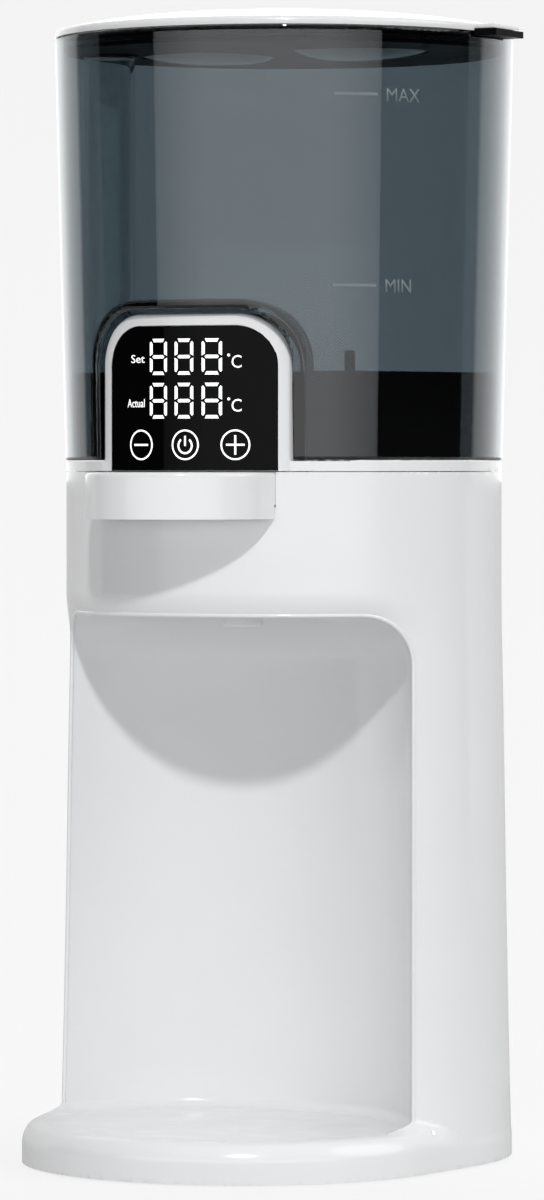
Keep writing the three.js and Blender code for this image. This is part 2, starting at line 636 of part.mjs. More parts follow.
// ---------- tank ----------
const tankR = (z) => TANK_R_LOW + ((TANK_R_RIM - TANK_R_LOW) * (z - TANK_LOW)) / (TANK_RIM - TANK_LOW);
const tankRound = (inset, z0, z1) => lathe([[0, z0], [tankR(z0) - inset, z0], [tankR(z1) - inset, z1], [0, z1]]);
const pocket = (grow, back) =>
  facePrism(
    arch(ARCH_HALF + POCKET_GAP + grow, 240, ARCH_TOP + 1.6 + grow, ARCH_CORNER + POCKET_GAP + grow),
    -120,
    back + grow,
  );
const POCKET_BACK = -57.8;
{
  let t = cut(tankRound(0, TANK_LOW, TANK_RIM), pocket(0, POCKET_BACK));
  t = cut(t, cut(tankRound(TANK_WALL, TANK_LOW - 3, TANK_RIM + 5), pocket(TANK_WALL, POCKET_BACK)));
  // Notch for the lid's tongue.
  t = cut(t, box(70, 100, -12.2, 12.2, 407.6, 420));
  add("tank_shell", t, smoke(), tankGroup);
}
{
  let c = cut(tankRound(TANK_WALL + GAP, CUP_LOW, CUP_TOP), pocket(TANK_WALL + GAP, POCKET_BACK));
  const inner = cut(
    tankRound(TANK_WALL + GAP + 2.2, CUP_LOW + 2.4, CUP_TOP + 5),
    pocket(TANK_WALL + GAP + 2.2, POCKET_BACK),
  );
  c = cut(c, inner);
  c = join(c, ring(5.3, 8.6, CUP_LOW, 264, 0, OUTLET_Y, 20));
  c = cut(c, cyl(5.3, 250, 270, 0, OUTLET_Y, 20));
  // Cage over the valve.
  for (const s of [-1, 1]) c = join(c, box(s > 0 ? 9.6 : -12, s > 0 ? 12 : -9.6, OUTLET_Y - 2.5, OUTLET_Y + 2.5, 257.5, 280));
  c = join(c, box(-12, 12, OUTLET_Y - 2.5, OUTLET_Y + 2.5, 278, 280.4));
  c = cut(c, cyl(2.2, 270, 290, 0, OUTLET_Y, 12));
  add("tank_floor", c, dark(), tankGroup);
}
add(
  "valve_stem",
  lathe([[0, 256.2], [1.8, 256.2], [1.8, 267], [7.4, 267], [7.4, 269], [1.8, 269], [1.8, 283], [0, 283]], 16, 0, OUTLET_Y),
  mat(0xd9dbdc, 0.4),
  tankGroup,
);
add("valve_spring", coil(0, OUTLET_Y, 269.3, 277.7, 4.2, 4, 0.4), steel(), tankGroup);
{
  const [x, y] = COLUMN;
  let t = ring(COLUMN_R - 1.5, COLUMN_R, 258.3, 402.6, x, y, 18);
  t = cut(t, box(x - 20, x + 20, y - 3, y + 3, 250, 262));
  add("vent_column", t, smoke(), tankGroup);
  add(
    "vent_cap",
    lathe([[0, 402.9], [COLUMN_R, 402.9], [COLUMN_R, 405.2], [6.2, 406.2], [5.2, 408.9], [0, 408.9]], 18, x, y),
    smoke(),
    tankGroup,
  );
}
add("level_post", lathe([[0, 258.3], [2.0, 258.3], [2.0, 294], [1.2, 295.4], [0, 295.8]], 12, 21, 12), dark(), tankGroup);

// ---------- lid ----------
const dome = (r, top, low, drop, n = 5) => {
  const p = [[0, low], [r, low]];
  for (let i = 0; i < n; i++) {
    const q = 1 - i / n;
    p.push([r * q, LID_BAND - drop + (top - LID_BAND + drop) * (1 - q ** 3)]);
  }
  p.push([0, top]);
  return lathe(p);
};
// Finger bowl: steep beside the ridge between the two bowls, and gently sloped towards the rim.
const scoop = (sx, grow) => {
  const half = (ax, x0, x1) => {
    const g = new THREE.SphereGeometry(1, 24, 14);
    g.rotateX(Math.PI / 2);
    g.scale(ax + grow, 34 + grow, 15.3 + grow);
    g.translate(sx * 24, 0, 418.6);
    return solid(g).intersect(box(Math.min(sx * x0, sx * x1), Math.max(sx * x0, sx * x1), -60, 60, 380, 440));
  };
  return join(half(44, 24, 90), half(20, -20, 24));
};
{
  const outer = dome(LID_R, LID_TOP, LID_LOW, 0);
  const inner = dome(LID_R - 2.2, LID_TOP - 2.2, LID_LOW - 1, 1.2, 2);
  let c = cut(outer, inner);
  c = join(c, join(scoop(-1, 1.8), scoop(1, 1.8)).intersect(dome(LID_R, LID_TOP, 395, 0)));
  c = cut(c, scoop(-1, 0), scoop(1, 0));
  c = cut(c, box(70, 100, -11.9, 11.9, 400, 410.7));
  c = join(c, box(80, 90.4, -10.6, 10.6, 410.75, 412.2));
  add("lid_cover", c, white(), lidGroup);
}
{
  let t = lathe([[0, TRAY_LOW], [TRAY_R, TRAY_LOW], [TRAY_R, 405.4], [TRAY_R - 1.6, 405.4], [TRAY_R - 1.6, 407.6], [TRAY_R, 407.6], [TRAY_R, 409.5], [TRAY_R - 3.4, 409.5], [TRAY_R - 3.4, TRAY_LOW + 1.8], [0, TRAY_LOW + 1.8]]);
  t = cut(t, cyl(COLUMN_R + 1.3, 400, 412, COLUMN[0], COLUMN[1], 18).subtract(cut(cyl(90, 400, 412, 0, 0, SEG), cyl(TRAY_R - 3.4, 399, 413, 0, 0, SEG))));
  t = cut(t, scoop(-1, 1.8 + GAP), scoop(1, 1.8 + GAP));
  t = join(t, box(76, 91.7, -11.5, 11.5, 408.0, 410.4).subtract(cyl(TRAY_R - 3.4, 400, 420, 0, 0, SEG)));
  add("lid_tray", t, mat(0x1b2023, 0.08), lidGroup);
}
add("lid_gasket", ring(TRAY_R - 1.3, TRAY_R + 0.25, 405.8, 407.2, 0, 0, SEG), silicone(), lidGroup);

export default root;
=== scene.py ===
import math

import bpy
import numpy as np
from mathutils import Matrix, Vector


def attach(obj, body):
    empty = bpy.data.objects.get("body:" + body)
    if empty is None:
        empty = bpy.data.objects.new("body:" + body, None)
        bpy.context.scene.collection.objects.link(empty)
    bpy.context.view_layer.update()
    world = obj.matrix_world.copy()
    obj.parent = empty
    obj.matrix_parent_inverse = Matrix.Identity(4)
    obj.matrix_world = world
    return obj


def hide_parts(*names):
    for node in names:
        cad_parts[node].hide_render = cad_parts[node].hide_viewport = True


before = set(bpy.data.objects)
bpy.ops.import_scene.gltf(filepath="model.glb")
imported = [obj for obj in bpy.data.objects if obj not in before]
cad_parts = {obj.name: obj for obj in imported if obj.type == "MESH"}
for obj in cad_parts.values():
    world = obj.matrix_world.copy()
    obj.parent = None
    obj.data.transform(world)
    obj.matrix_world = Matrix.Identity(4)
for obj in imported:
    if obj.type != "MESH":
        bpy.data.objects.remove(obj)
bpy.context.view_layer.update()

# ---------------------------------------------------------------- numbers
# Shapes are written in millimetres in the tower's own coordinates: the tower's axis is x = y = 0 and the
# front faces -Y. SHIFT carries them into the part's frame.
SHIFT = np.array([-3.8, 14.95, 0.0])

TOWER_Z = [0, 20, 57, 94, 130, 167, 190, 205, 251]
TOWER_R = [84.0, 83.45, 82.6, 81.9, 81.35, 80.75, 80.25, 80.0, 80.0]
SEAM_Z = 251.1
WALL = 2.5
PLATFORM_Z = 15.5
ALCOVE_Y, ALCOVE_R, ALCOVE_TOP = -71.4, 79.3, 199.8
DISPLAY_R = 77.6
ARCH_HALF, ARCH_TOP, ARCH_CORNER, ARCH_BACK_Y = 38.3, 307.6, 18.5, -59.5
GLASS_HALF, GLASS_TOP, GLASS_CORNER, GLASS_T = 33.6, 303.2, 14.5, 1.8
LEVER_R, LEVER_Y, LEVER_LOW = 34.0, -80.0, 234.4
HINGE_Y, HINGE_Z = -62.0, 245.0
NOZZLE_Y, NOZZLE_R = -33.0, 7.7
TANK_LOW, TANK_RIM, TANK_R_LOW, TANK_R_RIM, TANK_WALL = 255.3, 409.4, 80.2, 84.1, 2.4
CUP_LOW, CUP_TOP, OUTLET_Y = 255.6, 287.2, 30.0
LID_LOW, LID_BAND, LID_TOP, LID_R = 409.8, 412.4, 418.88, 84.1
TRAY_LOW, TRAY_R = 404.1, 80.9
COLUMN, COLUMN_R = (-59.0, -26.1), 9.5


# ---------------------------------------------------------------- fields
def hyp(a, b):
    return np.sqrt(a * a + b * b)


def union_r(a, b, r):
    """Union of two fields with a round fillet."""
    return np.maximum(r, np.minimum(a, b)) - hyp(np.maximum(r - a, 0), np.maximum(r - b, 0))


def inter_r(a, b, r):
    """Intersection of two fields with a rounded edge."""
    if r <= 0:
        return np.maximum(a, b)
    return np.minimum(-r, np.maximum(a, b)) + hyp(np.maximum(r + a, 0), np.maximum(r + b, 0))


def cut_r(a, b, r):
    return inter_r(a, -b, r)


def slab(v, lo, hi):
    return np.abs(v - (lo + hi) / 2) - (hi - lo) / 2


def box_f(x, y, z, x0, x1, y0, y1, z0, z1, r=0.0):
    if r <= 0:
        return np.maximum(np.maximum(slab(x, x0, x1), slab(y, y0, y1)), slab(z, z0, z1))
    return inter_r(inter_r(slab(x, x0, x1), slab(y, y0, y1), r), slab(z, z0, z1), r)


def arch_f(x, z, half, low, top, corner):
    return np.maximum(inter_r(np.abs(x) - half, z - top, corner), low - z)


def smooth_table(zs, rs, reach):
    """A smooth curve through the points, as a fine table for np.interp."""
    t = np.arange(zs[0] - 40, zs[-1] + 40, 0.5)
    v = np.interp(t, zs, rs)
    k = np.exp(-0.5 * (np.arange(-3 * reach, 3 * reach + 0.5, 0.5) / reach) ** 2)
    pad = len(k) // 2
    v = np.convolve(np.pad(v, pad, mode="edge"), k / k.sum(), mode="valid")
    return t, v


T_Z, T_R = smooth_table(TOWER_Z, TOWER_R, 7)


def tower_r(z):
    return np.interp(z, T_Z, T_R)


def wedge(x, y, deg):
    """Below 0 behind the two planes at deg each side of the front."""
    t = math.radians(deg)
    return np.abs(x) * -math.cos(t) - y * math.sin(t)


def polar(r, deg):
    t = math.radians(deg)
    return r * math.sin(t), -r * math.cos(t)


# ---------------------------------------------------------------- surfaces from fields
def slope(f, p, e=0.02):
    g = np.empty_like(p)
    for k in range(3):
        d = np.zeros(3)
        d[k] = e
        a, b = p + d, p - d
        g[:, k] = f(a[:, 0], a[:, 1], a[:, 2]) - f(b[:, 0], b[:, 1], b[:, 2])
    return g / np.maximum(np.linalg.norm(g, axis=1, keepdims=True), 1e-9)


def contour(f, lo, hi, h):
    """Closed quad mesh of the surface f = 0, with its sharp edges kept, and a normal for each corner of each quad."""
    lo = np.array(lo, float) - 2.3 * h
    n = np.ceil((np.array(hi, float) + 2.3 * h - lo) / h).astype(int) + 1
    ax = [lo[k] + h * np.arange(n[k]) for k in range(3)]
    F = np.empty(n, np.float64)
    step = max(1, int(300000 / (n[1] * n[2])))
    for i in range(0, n[0], step):
        X, Y, Z = np.meshgrid(ax[0][i : i + step], ax[1], ax[2], indexing="ij")
        F[i : i + step] = f(X, Y, Z)
    F[np.abs(F) < 1e-7] = 1e-7
    inside = F < 0
    strides = np.array([(n[1] - 1) * (n[2] - 1), n[2] - 1, 1])
    pts, nrm, cell, quad = [], [], [], []
    for a in range(3):
        b, c = (a + 1) % 3, (a + 2) % 3
        s0, s1 = [slice(None)] * 3, [slice(None)] * 3
        s0[a], s1[a] = slice(0, -1), slice(1, None)
        A, B = inside[tuple(s0)], inside[tuple(s1)]
        idx = np.argwhere(A != B)
        if not len(idx):
            continue
        up = A[tuple(idx.T)]
        i1 = idx.copy()
        i1[:, a] += 1
        f0, f1 = F[tuple(idx.T)], F[tuple(i1.T)]
        p0 = lo + h * idx
        t0, t1 = np.zeros(len(idx)), np.ones(len(idx))
        for _ in range(3):
            t = t0 + (t1 - t0) * np.clip(f0 / (f0 - f1), 0.02, 0.98)
            p = p0.copy()
            p[:, a] += h * t
            ft = f(p[:, 0], p[:, 1], p[:, 2])
            same = (ft < 0) == (f0 < 0)
            t0, f0 = np.where(same, t, t0), np.where(same, ft, f0)
            t1, f1 = np.where(same, t1, t), np.where(same, f1, ft)
        t = t0 + (t1 - t0) * np.clip(f0 / np.where(np.abs(f0 - f1) < 1e-12, 1, f0 - f1), 0, 1)
        p = p0.copy()
        p[:, a] += h * t
        g = slope(f, p)
        four = []
        for db, dc in ((0, 0), (-1, 0), (-1, -1), (0, -1)):
            q = idx.copy()
            q[:, b] += db
            q[:, c] += dc
            four.append(q @ strides)
            pts.append(p)
            nrm.append(g)
            cell.append(four[-1])
        four = np.stack(four, 1)
        four[~up] = four[~up][:, ::-1]
        quad.append(four)
    pts, nrm, cell, quad = np.concatenate(pts), np.concatenate(nrm), np.concatenate(cell), np.concatenate(quad)
    ids, inv = np.unique(cell, return_inverse=True)
    m = len(ids)
    add = lambda w: np.bincount(inv, weights=w, minlength=m)
    count = add(np.ones(len(inv)))
    mass = np.stack([add(pts[:, k]) / count for k in range(3)], 1)
    rel = pts - mass[inv]
    dist = (nrm * rel).sum(1)
    M = np.empty((m, 3, 3))
    for i in range(3):
        for j in range(i, 3):
            M[:, i, j] = M[:, j, i] = add(nrm[:, i] * nrm[:, j])
        M[:, i, i] += 0.06
    rhs = np.stack([add(nrm[:, k] * dist) for k in range(3)], 1)
    v = mass + np.linalg.solve(M, rhs[:, :, None])[:, :, 0]
    base = np.stack([ids // strides[0], (ids % strides[0]) // strides[1], ids % strides[1]], 1)
    low = lo + h * base
    v = np.clip(v, low + 0.02 * h, low + 0.98 * h)
    lookup = np.searchsorted(ids, quad)
    g = slope(f, v)
    fv = f(v[:, 0], v[:, 1], v[:, 2])
    v = v - g * np.clip(fv, -0.25 * h, 0.25 * h)[:, None]
    corner = v[lookup]
    fn = np.cross(corner[:, 2] - corner[:, 0], corner[:, 3] - corner[:, 1])
    fn /= np.maximum(np.linalg.norm(fn, axis=1, keepdims=True), 1e-12)
    ln = g[lookup]
    sharp = (ln * fn[:, None, :]).sum(2) < 0.93
    if sharp.any():
        centre = corner.mean(1)
        which = np.argwhere(sharp)
        q = corner[which[:, 0], which[:, 1]] * 0.55 + centre[which[:, 0]] * 0.45
        own = slope(f, q)
        bad = (own * fn[which[:, 0]]).sum(1) < 0.7
        own[bad] = fn[which[:, 0]][bad]
        ln[which[:, 0], which[:, 1]] = own
    return v, lookup, ln


def mesh_from(name, v, quads, normals=None):
    v = (np.asarray(v, float) + SHIFT) / 1000
    me = bpy.data.meshes.new(name)
    nf = len(quads)
    me.vertices.add(len(v))
    me.vertices.foreach_set("co", v.astype(np.float32).ravel())
    me.loops.add(nf * 4)
    me.loops.foreach_set("vertex_index", np.asarray(quads, np.int32).ravel())
    me.polygons.add(nf)
    me.polygons.foreach_set("loop_start", np.arange(0, nf * 4, 4, dtype=np.int32))
    me.polygons.foreach_set("use_smooth", np.ones(nf, bool))
    me.update(calc_edges=True)
    if normals is not None:
        me.normals_split_custom_set(np.asarray(normals, np.float32).reshape(-1, 3))
    return me


def piece(name, me, body, material, nodes=()):
    ob = bpy.data.objects.new(name, me)
    bpy.context.scene.collection.objects.link(ob)
    ob.data.materials.clear()
    ob.data.materials.append(material)
    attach(ob, body)
    if nodes:
        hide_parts(*nodes)
    return ob


def ease(ob, centre, reach, rounds=14):
    """Irons a small dent out of a surface: each point near the centre moves to the mean of its neighbours."""
    me = ob.data
    co = np.empty(len(me.vertices) * 3)
    me.vertices.foreach_get("co", co)
    co = co.reshape(-1, 3)
    ends = np.empty(len(me.edges) * 2, int)
    me.edges.foreach_get("vertices", ends)
    ends = ends.reshape(-1, 2)
    near = ((co - np.array(centre) / 1000) ** 2).sum(1) < (reach / 1000) ** 2
    ties = np.concatenate([ends, ends[:, ::-1]])
    ties = ties[near[ties[:, 0]]]
    for _ in range(rounds):
        total, count = np.zeros_like(co), np.zeros(len(co))
        np.add.at(total, ties[:, 0], co[ties[:, 1]])
        np.add.at(count, ties[:, 0], 1)
        co[near] = total[near] / count[near, None]
    me.vertices.foreach_set("co", co.ravel())
    me.update()


def field_piece(name, f, lo, hi, h, body, material, nodes=()):
    return piece(name, mesh_from(name, *contour(f, lo, hi, h)), body, material, nodes)


def second_look(ob, material, chosen):
    """Give the faces whose centres the test picks another of the piece's materials."""
    me = ob.data
    me.materials.append(material)
    n = len(me.polygons)
    c = np.empty(n * 3, np.float32)
    me.polygons.foreach_get("center", c)
    c = c.reshape(-1, 3).astype(float) * 1000 - SHIFT
    me.polygons.foreach_set("material_index", chosen(c[:, 0], c[:, 1], c[:, 2]).astype(np.int32))


# ---------------------------------------------------------------- surfaces made directly
def poly_mesh(name, verts, faces, angle=35):
    v = (np.asarray(verts, float) + SHIFT) / 1000
    me = bpy.data.meshes.new(name)
    me.from_pydata([tuple(p) for p in v], [], [tuple(q) for q in faces])
    me.polygons.foreach_set("use_smooth", np.ones(len(me.polygons), bool))
    me.update()
    me.set_sharp_from_angle(angle=math.radians(angle))
    return me


def rounded(points, radii, n=5):
    """Corners of a closed or open line in a plane, each replaced by an arc-like curve of about its radius."""
    out = []
    m = len(points)
    for i, p in enumerate(points):
        r = radii[i] if hasattr(radii, "__len__") else radii
        p = np.array(p, float)
        if r <= 0 or i in (0, m - 1):
            out.append(tuple(p))
            continue
        a, b = np.array(points[i - 1], float) - p, np.array(points[(i + 1) % m], float) - p
        la, lb = np.linalg.norm(a), np.linalg.norm(b)
        t = min(r, la * 0.48, lb * 0.48)
        a, b = p + a / la * t, p + b / lb * t
        for k in range(n + 1):
            s = k / n
            out.append(tuple((1 - s) ** 2 * a + 2 * s * (1 - s) * p + s * s * b))
    return out


def lathe_mesh(name, profile, x=0.0, y=0.0, seg=72, angle=35):
    """Turned solid: the profile starts and ends on the axis, or closes on itself."""
    closed = profile[0][0] > 1e-6
    verts, rows = [], []
    for r, z in profile:
        if r < 1e-6:
            rows.append([len(verts)] * seg)
            verts.append((x, y, z))
        else:
            rows.append([len(verts) + k for k in range(seg)])
            for k in range(seg):
                t = 2 * math.pi * k / seg
                verts.append((x + r * math.cos(t), y + r * math.sin(t), z))
    pairs = list(zip(rows[:-1], rows[1:]))
    if closed:
        pairs.append((rows[-1], rows[0]))
    faces = []
    for lo, hi in pairs:
        for k in range(seg):
            j = (k + 1) % seg
            q = []
            for i in (lo[k], lo[j], hi[j], hi[k]):
                if i not in q:
                    q.append(i)
            if len(q) > 2:
                faces.append(q)
    return poly_mesh(name, verts, faces, angle)


def tube_mesh(name, pts, r, sides=10, r0=None):
    """Closed tube along the points; with r0 it is a hose with an open bore."""
    pts = np.asarray(pts, float)
    tan = np.gradient(pts, axis=0)
    tan /= np.linalg.norm(tan, axis=1, keepdims=True)
    u = np.cross(tan[0], [0.31, 0.17, 0.94])
    u /= np.linalg.norm(u)
    ring, inner = [], []
    for p, t in zip(pts, tan):
        u = u - t * (u @ t)
        u /= np.linalg.norm(u)
        w = np.cross(t, u)
        a = 2 * np.pi * np.arange(sides) / sides
        d = np.cos(a)[:, None] * u + np.sin(a)[:, None] * w
        ring.append(p + r * d)
        inner.append(p + (r0 or 0) * d)
    n = len(pts)
    verts = np.concatenate(ring + (inner if r0 else []))
    faces = []
    for i in range(n - 1):
        for k in range(sides):
            j = (k + 1) % sides
            faces.append((i * sides + k, i * sides + j, (i + 1) * sides + j, (i + 1) * sides + k))
            if r0:
                o = n * sides
                faces.append((o + i * sides + k, o + (i + 1) * sides + k, o + (i + 1) * sides + j, o + i * sides + j))
    if r0:
        o = n * sides
        for k in range(sides):
            j = (k + 1) % sides
            faces.append((k, o + k, o + j, j))
            e = (n - 1) * sides
            faces.append((e + k, e + j, o + e + j, o + e + k))
    else:
        faces.append(tuple(range(sides))[::-1])
        faces.append(tuple((n - 1) * sides + k for k in range(sides)))
    return poly_mesh(name, verts, faces, 50)


# ---------------------------------------------------------------- materials
def material(name):
    m = bpy.data.materials.new(name)
    m.use_nodes = True
    nt = m.node_tree
    nt.nodes.clear()
    out = nt.nodes.new("ShaderNodeOutputMaterial")
    bsdf = nt.nodes.new("ShaderNodeBsdfPrincipled")
    nt.links.new(bsdf.outputs["BSDF"], out.inputs["Surface"])
    return m, nt, bsdf


def coords(nt, scale=(1, 1, 1)):
    tc = nt.nodes.new("ShaderNodeTexCoord")
    mp = nt.nodes.new("ShaderNodeMapping")
    mp.inputs["Scale"].default_value = scale
    nt.links.new(tc.outputs["Object"], mp.inputs["Vector"])
    return mp.outputs["Vector"]


def noise(nt, vec, scale, detail=3.0, rough=0.5):
    n = nt.nodes.new("ShaderNodeTexNoise")
    n.inputs["Scale"].default_value = scale
    n.inputs["Detail"].default_value = detail
    n.inputs["Roughness"].default_value = rough
    nt.links.new(vec, n.inputs["Vector"])
    return n.outputs["Fac"]


def ramp(nt, fac, lo, hi, at=(0.3, 0.7)):
    r = nt.nodes.new("ShaderNodeValToRGB")
    r.color_ramp.elements[0].position, r.color_ramp.elements[1].position = at
    r.color_ramp.elements[0].color = (*lo, 1)
    r.color_ramp.elements[1].color = (*hi, 1)
    nt.links.new(fac, r.inputs["Fac"])
    return r.outputs["Color"]


def span(nt, fac, lo, hi):
    r = nt.nodes.new("ShaderNodeMapRange")
    r.inputs["From Min"].default_value, r.inputs["From Max"].default_value = 0.3, 0.7
    r.inputs["To Min"].default_value, r.inputs["To Max"].default_value = lo, hi
    nt.links.new(fac, r.inputs["Value"])
    return r.outputs["Result"]


def bump(nt, bsdf, fac, strength, distance):
    b = nt.nodes.new("ShaderNodeBump")
    b.inputs["Strength"].default_value = strength
    b.inputs["Distance"].default_value = distance
    nt.links.new(fac, b.inputs["Height"])
    nt.links.new(b.outputs["Normal"], bsdf.inputs["Normal"])


def plastic(name, colour, rough, vary=0.012, grain=900.0, depth=0.000004, strength=0.15, spec=0.5, coat=0.0, ior=1.5, through=0.0):
    """Moulded plastic: faint cloudiness in the colour, roughness that wanders, and a fine moulding texture."""
    m, nt, b = material(name)
    vec = coords(nt)
    cloud = noise(nt, vec, 18.0, 4.0)
    lo = tuple(max(0.0, c * (1 - vary)) for c in colour)
    hi = tuple(min(1.0, c * (1 + vary)) for c in colour)
    nt.links.new(ramp(nt, cloud, lo, hi), b.inputs["Base Color"])
    wander = noise(nt, vec, 60.0, 3.0)
    nt.links.new(span(nt, wander, rough[0], rough[1]), b.inputs["Roughness"])
    bump(nt, b, noise(nt, vec, grain, 2.0), strength, depth)
    b.inputs["Specular IOR Level"].default_value = spec
    b.inputs["IOR"].default_value = ior
    if through:
        b.inputs["Subsurface Weight"].default_value = through
        b.inputs["Subsurface Radius"].default_value = (1.0, 1.0, 1.0)
        b.inputs["Subsurface Scale"].default_value = 0.004
    if coat:
        b.inputs["Coat Weight"].default_value = coat
        b.inputs["Coat Roughness"].default_value = 0.04
    return m


def metal(name, colour, rough, brushed=True):
    m, nt, b = material(name)
    vec = coords(nt, (1, 1, 12) if brushed else (1, 1, 1))
    n = noise(nt, vec, 350.0, 3.0)
    nt.links.new(ramp(nt, n, tuple(c * 0.9 for c in colour), colour), b.inputs["Base Color"])
    nt.links.new(span(nt, n, rough[0], rough[1]), b.inputs["Roughness"])
    bump(nt, b, n, 0.2, 0.00001)
    b.inputs["Metallic"].default_value = 1.0
    return m


def clear(name, tint, rough=0.01, ior=1.49, vary=0.03, alpha=1.0):
    """Tinted clear plastic: the tint drifts a little with the moulding's flow, and the polish wanders."""
    m, nt, b = material(name)
    vec = coords(nt, (1, 1, 0.25))
    flow = noise(nt, vec, 9.0, 2.0)
    nt.links.new(
        ramp(nt, flow, tuple(c * (1 - vary) for c in tint), tuple(min(1, c * (1 + vary)) for c in tint)),
        b.inputs["Base Color"],
    )
    nt.links.new(span(nt, noise(nt, vec, 40.0), rough * 0.5, rough * 1.5), b.inputs["Roughness"])
    b.inputs["Transmission Weight"].default_value = 1.0
    b.inputs["IOR"].default_value = ior
    return m


WHITE = plastic("white_shell", (0.83, 0.835, 0.845), (0.10, 0.17))
WHITE_LID = plastic("white_lid", (0.83, 0.835, 0.845), (0.10, 0.17), through=0.5)
WHITE_IN = plastic("white_satin", (0.76, 0.765, 0.77), (0.35, 0.5), strength=0.3, depth=0.00002)
BLACK = plastic("black_polished", (0.0035, 0.0036, 0.0038), (0.03, 0.06))
BLACK_SIDE = plastic("black_satin", (0.006, 0.006, 0.0065), (0.30, 0.40), spec=0.1)
BLACK_MATTE = plastic("black_matt", (0.012, 0.012, 0.013), (0.45, 0.6), strength=0.4, depth=0.00002)
GLASS_BLACK = plastic("display_front", (0.0016, 0.0016, 0.0018), (0.03, 0.06), spec=0.055)
SMOKE = clear("smoke_tint", (0.263, 0.311, 0.335))
SMOKE_RIB = clear("smoke_pocket", (0.13, 0.16, 0.172), ior=1.3)
GLASSY = clear("clear_tint", (0.84, 0.87, 0.88))
SMOKE_DARK = plastic("smoke_deep", (0.0035, 0.0037, 0.004), (0.35, 0.45), spec=0.02)
RUBBER = plastic("rubber", (0.018, 0.018, 0.018), (0.75, 0.9), grain=1400, strength=0.5, depth=0.00003)
SILICONE = clear("silicone_milky", (0.8, 0.83, 0.84), rough=0.35, ior=1.41)
STEEL = metal("zinc_steel", (0.62, 0.63, 0.65), (0.28, 0.42))
ALUMINIUM = metal("cast_aluminium", (0.58, 0.59, 0.6), (0.38, 0.55), brushed=False)
BOARD = plastic("solder_mask", (0.02, 0.13, 0.05), (0.25, 0.4), vary=0.15)
NATURAL = plastic("natural_moulding", (0.62, 0.63, 0.64), (0.35, 0.5), strength=0.3, depth=0.00002)


def glow(name, colour, strength):
    """Printed or lit symbol: bright colour with a faint unevenness."""
    m, nt, b = material(name)
    vec = coords(nt)
    tone = ramp(nt, noise(nt, vec, 250.0, 2.0), tuple(c * 0.97 for c in colour), colour)
    nt.links.new(tone, b.inputs["Base Color"])
    nt.links.new(tone, b.inputs["Emission Color"])
    b.inputs["Emission Strength"].default_value = strength
    b.inputs["Roughness"].default_value = 0.3
    return m


LIT = glow("lit_symbols", (0.95, 0.96, 0.97), 0.75)
PRINT = plastic("scale_print", (0.175, 0.208, 0.222), (0.4, 0.5))

CARRIED = {
    "display_board": BOARD, "digit_module": BLACK_MATTE, "lever_pin": STEEL, "lever_switch": BLACK_MATTE,
    "nozzle_hose": SILICONE, "suction_hose": SILICONE, "pump_hose": SILICONE, "pump": BLACK_MATTE,
    "heater": ALUMINIUM, "heater_bracket": STEEL, "bracket_screw_1": STEEL, "bracket_screw_2": STEEL,
    "control_board": BOARD, "board_screw_1": STEEL, "board_screw_2": STEEL,
    "base_screw_1": STEEL, "base_screw_2": STEEL, "base_screw_3": STEEL, "base_screw_4": STEEL,
    "rear_screw_1": STEEL, "rear_screw_2": STEEL, "lever_spring": STEEL, "valve_spring": STEEL,
    "outlet_seal": SILICONE, "deck_outlet": NATURAL, "valve_stem": NATURAL, "power_inlet": BLACK_MATTE,
    "base_plate": WHITE_IN, "foot_front_left": RUBBER, "foot_front_right": RUBBER, "foot_rear_left": RUBBER,
    "foot_rear_right": RUBBER, "lid_gasket": SILICONE,
}
for n, m in CARRIED.items():
    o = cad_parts[n]
    if not o.material_slots:
        o.data.materials.append(m)
    o.material_slots[0].material = m

# ---------------------------------------------------------------- housing
FOOT_B = (84.0 - 80.6) / 32.1
FOOT_A = math.sqrt(1 - FOOT_B**2)


def foot_plan(x, y, grow=0.0):
    """Distance to the foot's outline: the hull of two rounds."""
    px, py = np.abs(x), -y
    k = py * FOOT_A - px * FOOT_B
    d = np.where(
        k < 0,
        hyp(px, py) - 84.0,
        np.where(k > FOOT_A * 32.1, hyp(px, py - 32.1) - 80.6, px * FOOT_A + py * FOOT_B - 84.0),
    )
    return d - grow


def foot_f(x, y, z):
    """A low upright band, then a round shoulder up to the flat platform's edge."""
    return inter_r(inter_r(foot_plan(x, y), z - 17.3, 10.0), z - PLATFORM_Z, 1.6)


def rim_roll(wall, z):
    """How far the skin has rolled in, from 1 at the alcove's edge to 0 where the roll begins."""
    u, v = np.maximum(wall + 18.0, 0), np.maximum(z - ALCOVE_TOP + 18.0, 0)
    q = hyp(u, v)
    c = u / np.maximum(q, 1e-6)
    reach = 8.0 + 14.0 * c * c
    return np.clip(1 - (q - 18.0) / reach, 0, 1) ** 2


def body_f(x, y, z):
    r = hyp(x, y)
    R = tower_r(z)
    wall = hyp(x, y - ALCOVE_Y) - ALCOVE_R
    tower = r - R + 2.3 * rim_roll(wall, z)
    alcove = inter_r(wall, z - ALCOVE_TOP, 18.0)
    t = np.maximum(tower, -alcove)
    k = R / np.maximum(r, 1.0)
    gap = -foot_plan(x * k, y * k)
    deep = np.clip((R - 3 - r) / 8, 0, 1)
    fillet = np.clip(gap, 0.01, 10.0) * (1 - deep) + 4.5 * deep
    return union_r(t, foot_f(x, y, z), fillet)


SCREWS_FRONT = [(-24, -94), (24, -94)]
SCREWS_BACK = [polar(77.0, 106), polar(77.0, -106)]
REAR_SCREWS = [126, -126]
REAR_SCREW_Z = 32.0


def radial(x, y, z, deg):
    """Coordinates of a hole that runs into the round wall at deg: across, up, and outwards from the axis."""
    t = math.radians(deg)
    sx, sy = math.sin(t), -math.cos(t)
    return x * sy - y * sx, z - REAR_SCREW_Z, x * sx + y * sy


